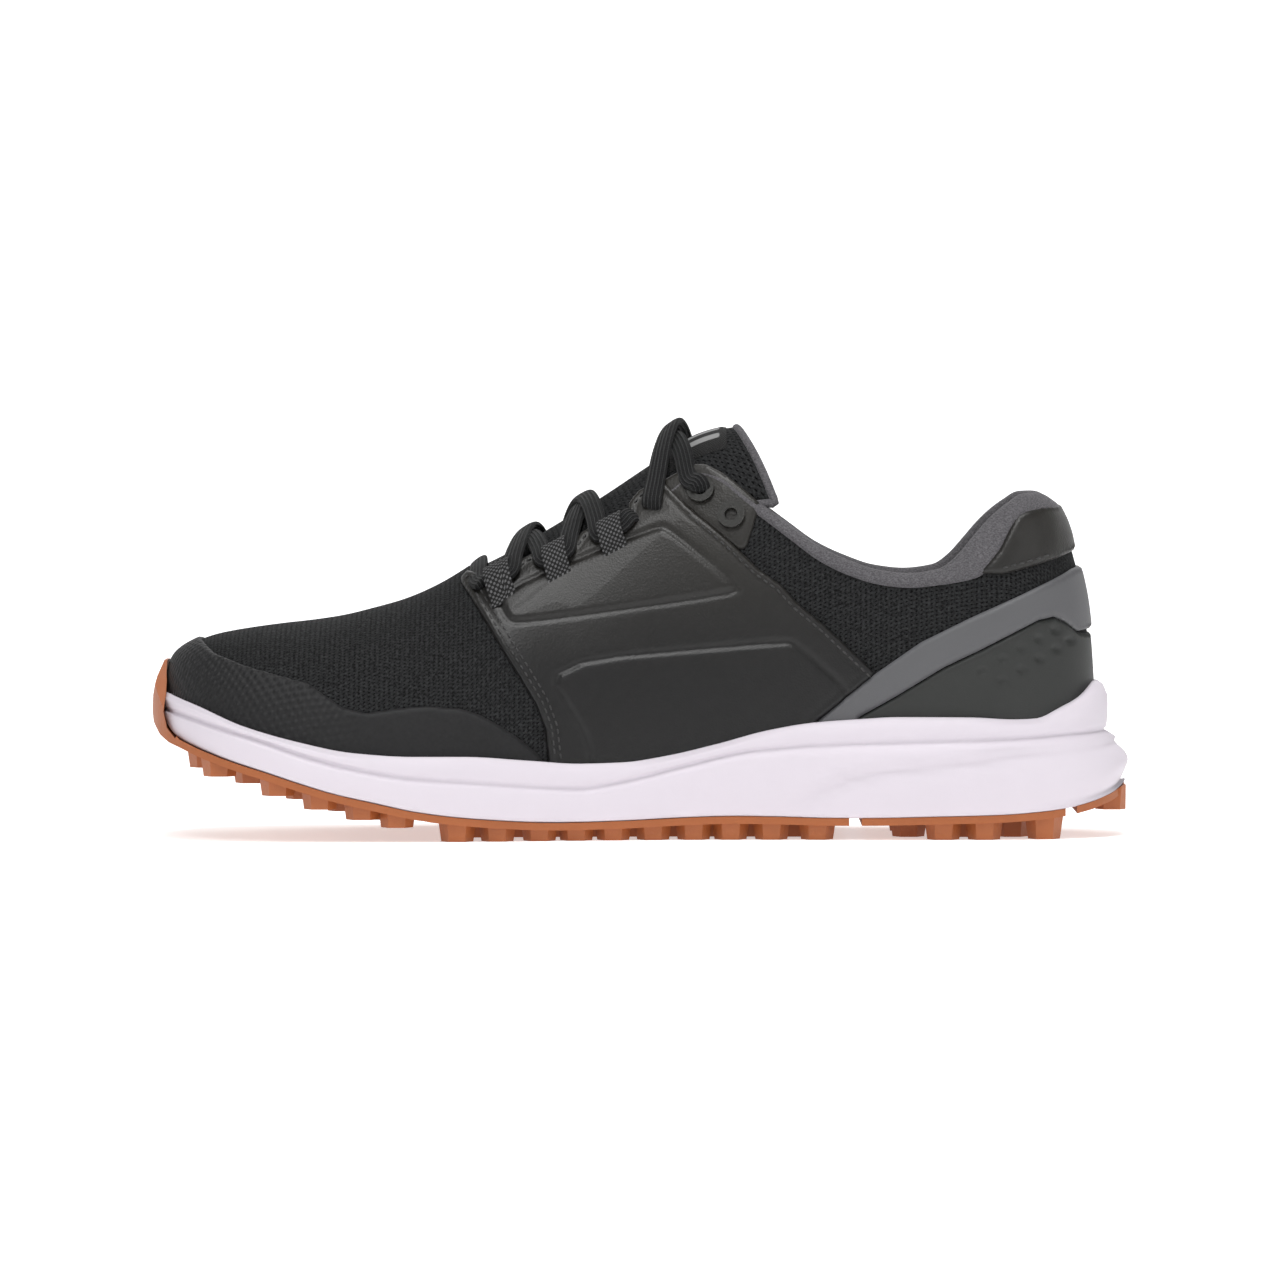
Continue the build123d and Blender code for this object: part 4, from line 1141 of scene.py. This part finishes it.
def build_midsole():
    # Rolled rim
    rows = [
        sole_row(-144.0, 137.0, -1.5, -1.5, shifted(rim_z, -3.5)),
        sole_row(-145.6, 139.0, 1.3, 1.4, shifted(rim_z, -0.8)),
        sole_row(-146.2, 140.2, 2.1, 2.3, rim_z),
        sole_row(-146.8, 141.4, 2.9, 3.4, shifted(rim_z, -0.25)),
        sole_row(-147.3, 142.8, 3.5, 4.4, shifted(rim_z, -1.3))]
    # Wall down to the groove
    for k, out in ((0.3, 0.2), (0.5, 0.35), (0.7, 0.3), (0.85, 0.1)):
        rows.append(sole_row(-147.6 - out, 143.9 + out, 3.9 + out, 4.9 + out,
                             between(rim_z, groove_z, k)))
    # Groove
    rows += [
        sole_row(-147.4, 143.7, 3.7, 4.7, shifted(groove_z, 0.7)),
        sole_row(-147.0, 143.0, 3.2, 4.2, shifted(groove_z, 0.2)),
        sole_row(-147.0, 143.1, 3.2, 4.3, shifted(groove_z, -0.3)),
        sole_row(-147.5, 144.4, 3.9, 5.1, shifted(groove_z, -1.0))]
    # Bulging lower wall, furthest out at the heel
    for k in (0.14, 0.22, 0.3, 0.38, 0.46, 0.54, 0.62, 0.7, 0.78, 0.86, 0.93):
        bulge = math.sin(math.pi * k * 0.92) ** 0.7
        flare = 3.2 * bell(k - 0.62, 0.3)
        rows.append(sole_row(-147.6 - 0.5 * bulge, 146.2 + flare + 1.1 * bulge,
                             4.0 + 0.7 * bulge, 5.2 + 1.5 * bulge,
                             between(groove_z, sole_z, k), crease))
    # Lower edge
    rows += [
        sole_row(-147.0, 149.6, 3.7, 5.6, shifted(sole_z, 0.25)),
        sole_row(-146.0, 148.4, 2.4, 4.2, shifted(sole_z, -0.1))]
    cols = 2 * SOLE_STEPS
    verts = np.vstack(rows)
    last = (len(rows) - 1) * cols
    bottom = [(last + k, last + cols - k, last + cols - k - 1, last + k + 1)
              for k in range(1, SOLE_STEPS - 1)]
    midsole = make("midsole_moulded", verts, quads(len(rows), cols, closed=True) + bottom,
                   FOAM, verts[:, [0, 2]])
    fit(midsole, "midsole_foam", "midsole_forefoot", "midsole_rearfoot")


# ------------------------------------------------------------------ outsole and eyelets
def cad_object(name):
    # The frame may list a node as something other than the object itself
    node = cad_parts[name]
    return node if hasattr(node, "data") else bpy.data.objects[name]


def build_outsole():
    """The front rubber: CAD pieces joined, and cut across at 5 mm steps."""
    bm = bmesh.new()
    for name in ("outsole_forefoot", "outsole_midfoot"):
        bm.from_mesh(cad_object(name).data)
    for v in bm.verts:  # close the joint between the two pieces, in metres
        if -0.0656 < v.co.x < -0.0644:
            v.co.x = -0.065
    for x in np.arange(-0.140, -0.02, 0.005):
        bmesh.ops.bisect_plane(bm, geom=bm.verts[:] + bm.edges[:] + bm.faces[:],
                               plane_co=(x, 0, 0), plane_no=(1, 0, 0))
    mesh = bpy.data.meshes.new("outsole_front_rubber")
    bm.to_mesh(mesh)
    bm.free()
    sole = add_object("outsole_front_rubber", mesh)
    mesh.materials.append(GUM)
    for face in mesh.polygons:
        face.material_index = 0
        face.use_smooth = False
    bevel = sole.modifiers.new("soft_edges", "BEVEL")
    bevel.width = 0.35 * MM
    bevel.segments = 2
    bevel.limit_method = "ANGLE"
    bevel.angle_limit = math.radians(35)
    fit(sole, "gum_rubber", "outsole_forefoot", "outsole_midfoot")


def paint_cad_pieces():
    for name, mat in (("outsole_heel", GUM), ("outsole_heel_rear", GUM),
                      ("eyelet_rings_medial", METAL), ("eyelet_rings_lateral", METAL)):
        for slot in cad_object(name).material_slots:
            slot.material = mat


# ------------------------------------------------------------------ stage, in metres
def build_floor():
    """A round floor that curves up into a wall."""
    reach, radius = 3.8, 0.8  # radius of the flat part and of the curve
    profile = [(0.5, 0.0), (1.5, 0.0), (reach, 0.0)]
    profile += [(reach + radius * math.sin(a), radius - radius * math.cos(a))
                for a in np.linspace(0.1, math.pi / 2, 12)]
    profile.append((reach + radius, 3.4))
    bm = bmesh.new()
    centre = bm.verts.new((0, 0, 0))
    spokes = [[bm.verts.new((r * math.cos(g), r * math.sin(g), z)) for r, z in profile]
              for g in circle_angles(64)]
    for p, q in zip(spokes, spokes[1:] + spokes[:1]):
        bm.faces.new((centre, p[0], q[0]))
        for k in range(len(profile) - 1):
            bm.faces.new((p[k], p[k + 1], q[k + 1], q[k])).smooth = True
    mesh = bpy.data.meshes.new("floor")
    bm.to_mesh(mesh)
    bm.free()
    floor = add_object("floor", mesh)
    mesh.materials.append(floor_material())


def floor_material():
    """White that glows; far out it glows more for the camera and less for the shoe."""
    pale = material("pale_floor", color=(0.93, 0.93, 0.93), rough=0.6, specular=0.2)
    tree = pale.node_tree
    shader = tree.nodes["Principled BSDF"]
    shader.inputs["Emission Color"].default_value = (1, 1, 1, 1)
    x, y, _ = split(tree, Coords(tree).position)
    seen = Value(tree, tree.nodes.new("ShaderNodeLightPath").outputs["Is Camera Ray"])
    far = ((x * x + y * y).sqrt() * 0.67 - 0.4).clamp()
    glow = far * (seen * 0.73 - 0.28) + 0.48
    tree.links.new(glow.socket, shader.inputs["Emission Strength"])
    return pale


def aim(ob, target):
    ob.rotation_euler = (Vector(target) - ob.location).to_track_quat("-Z", "Y").to_euler()


def lamp(name, location, size, watts):
    light = bpy.data.lights.new(name, "AREA")
    light.energy = watts
    light.size = size
    ob = add_object(name, light)
    ob.location = location
    aim(ob, (0, 0, 0.05))


def build_lights():
    lamp("key", location=(-0.35, -1.3, 1.7), size=0.6, watts=11)
    lamp("top", location=(0.05, -0.35, 1.5), size=0.7, watts=13)
    lamp("fill", location=(1.3, -1.2, 0.7), size=1.0, watts=2.5)
    lamp("back", location=(0.2, 1.1, 1.1), size=1.0, watts=6)
    world = bpy.data.worlds.new("world")
    bpy.context.scene.world = world
    world.use_nodes = True
    background = world.node_tree.nodes["Background"]
    background.inputs["Color"].default_value = (1, 1, 1, 1)
    background.inputs["Strength"].default_value = 0.20
    bpy.context.scene.view_settings.view_transform = "Standard"


def build_camera():
    """A long lens on the medial side, looking down by two degrees."""
    distance, view_width = 3.0, 0.3895
    near_side = 0.045  # the view width is measured this far in front of the centre
    target = (-0.0003, 0, 0.0599)
    camera = bpy.data.cameras.new("camera")
    camera.sensor_width = 36
    camera.lens = 36 * (distance - near_side) / view_width
    ob = add_object("camera", camera)
    ob.location = (target[0], -distance, target[2] + distance * math.tan(math.radians(2.0)))
    aim(ob, target)
    bpy.context.scene.camera = ob


build_upper_mesh()
build_overlays()
build_stitching()
build_collar()
build_footbed()
build_tongue()
build_label()
build_lace()
build_loops()
build_midsole()
build_outsole()
paint_cad_pieces()
build_floor()
build_lights()
build_camera()
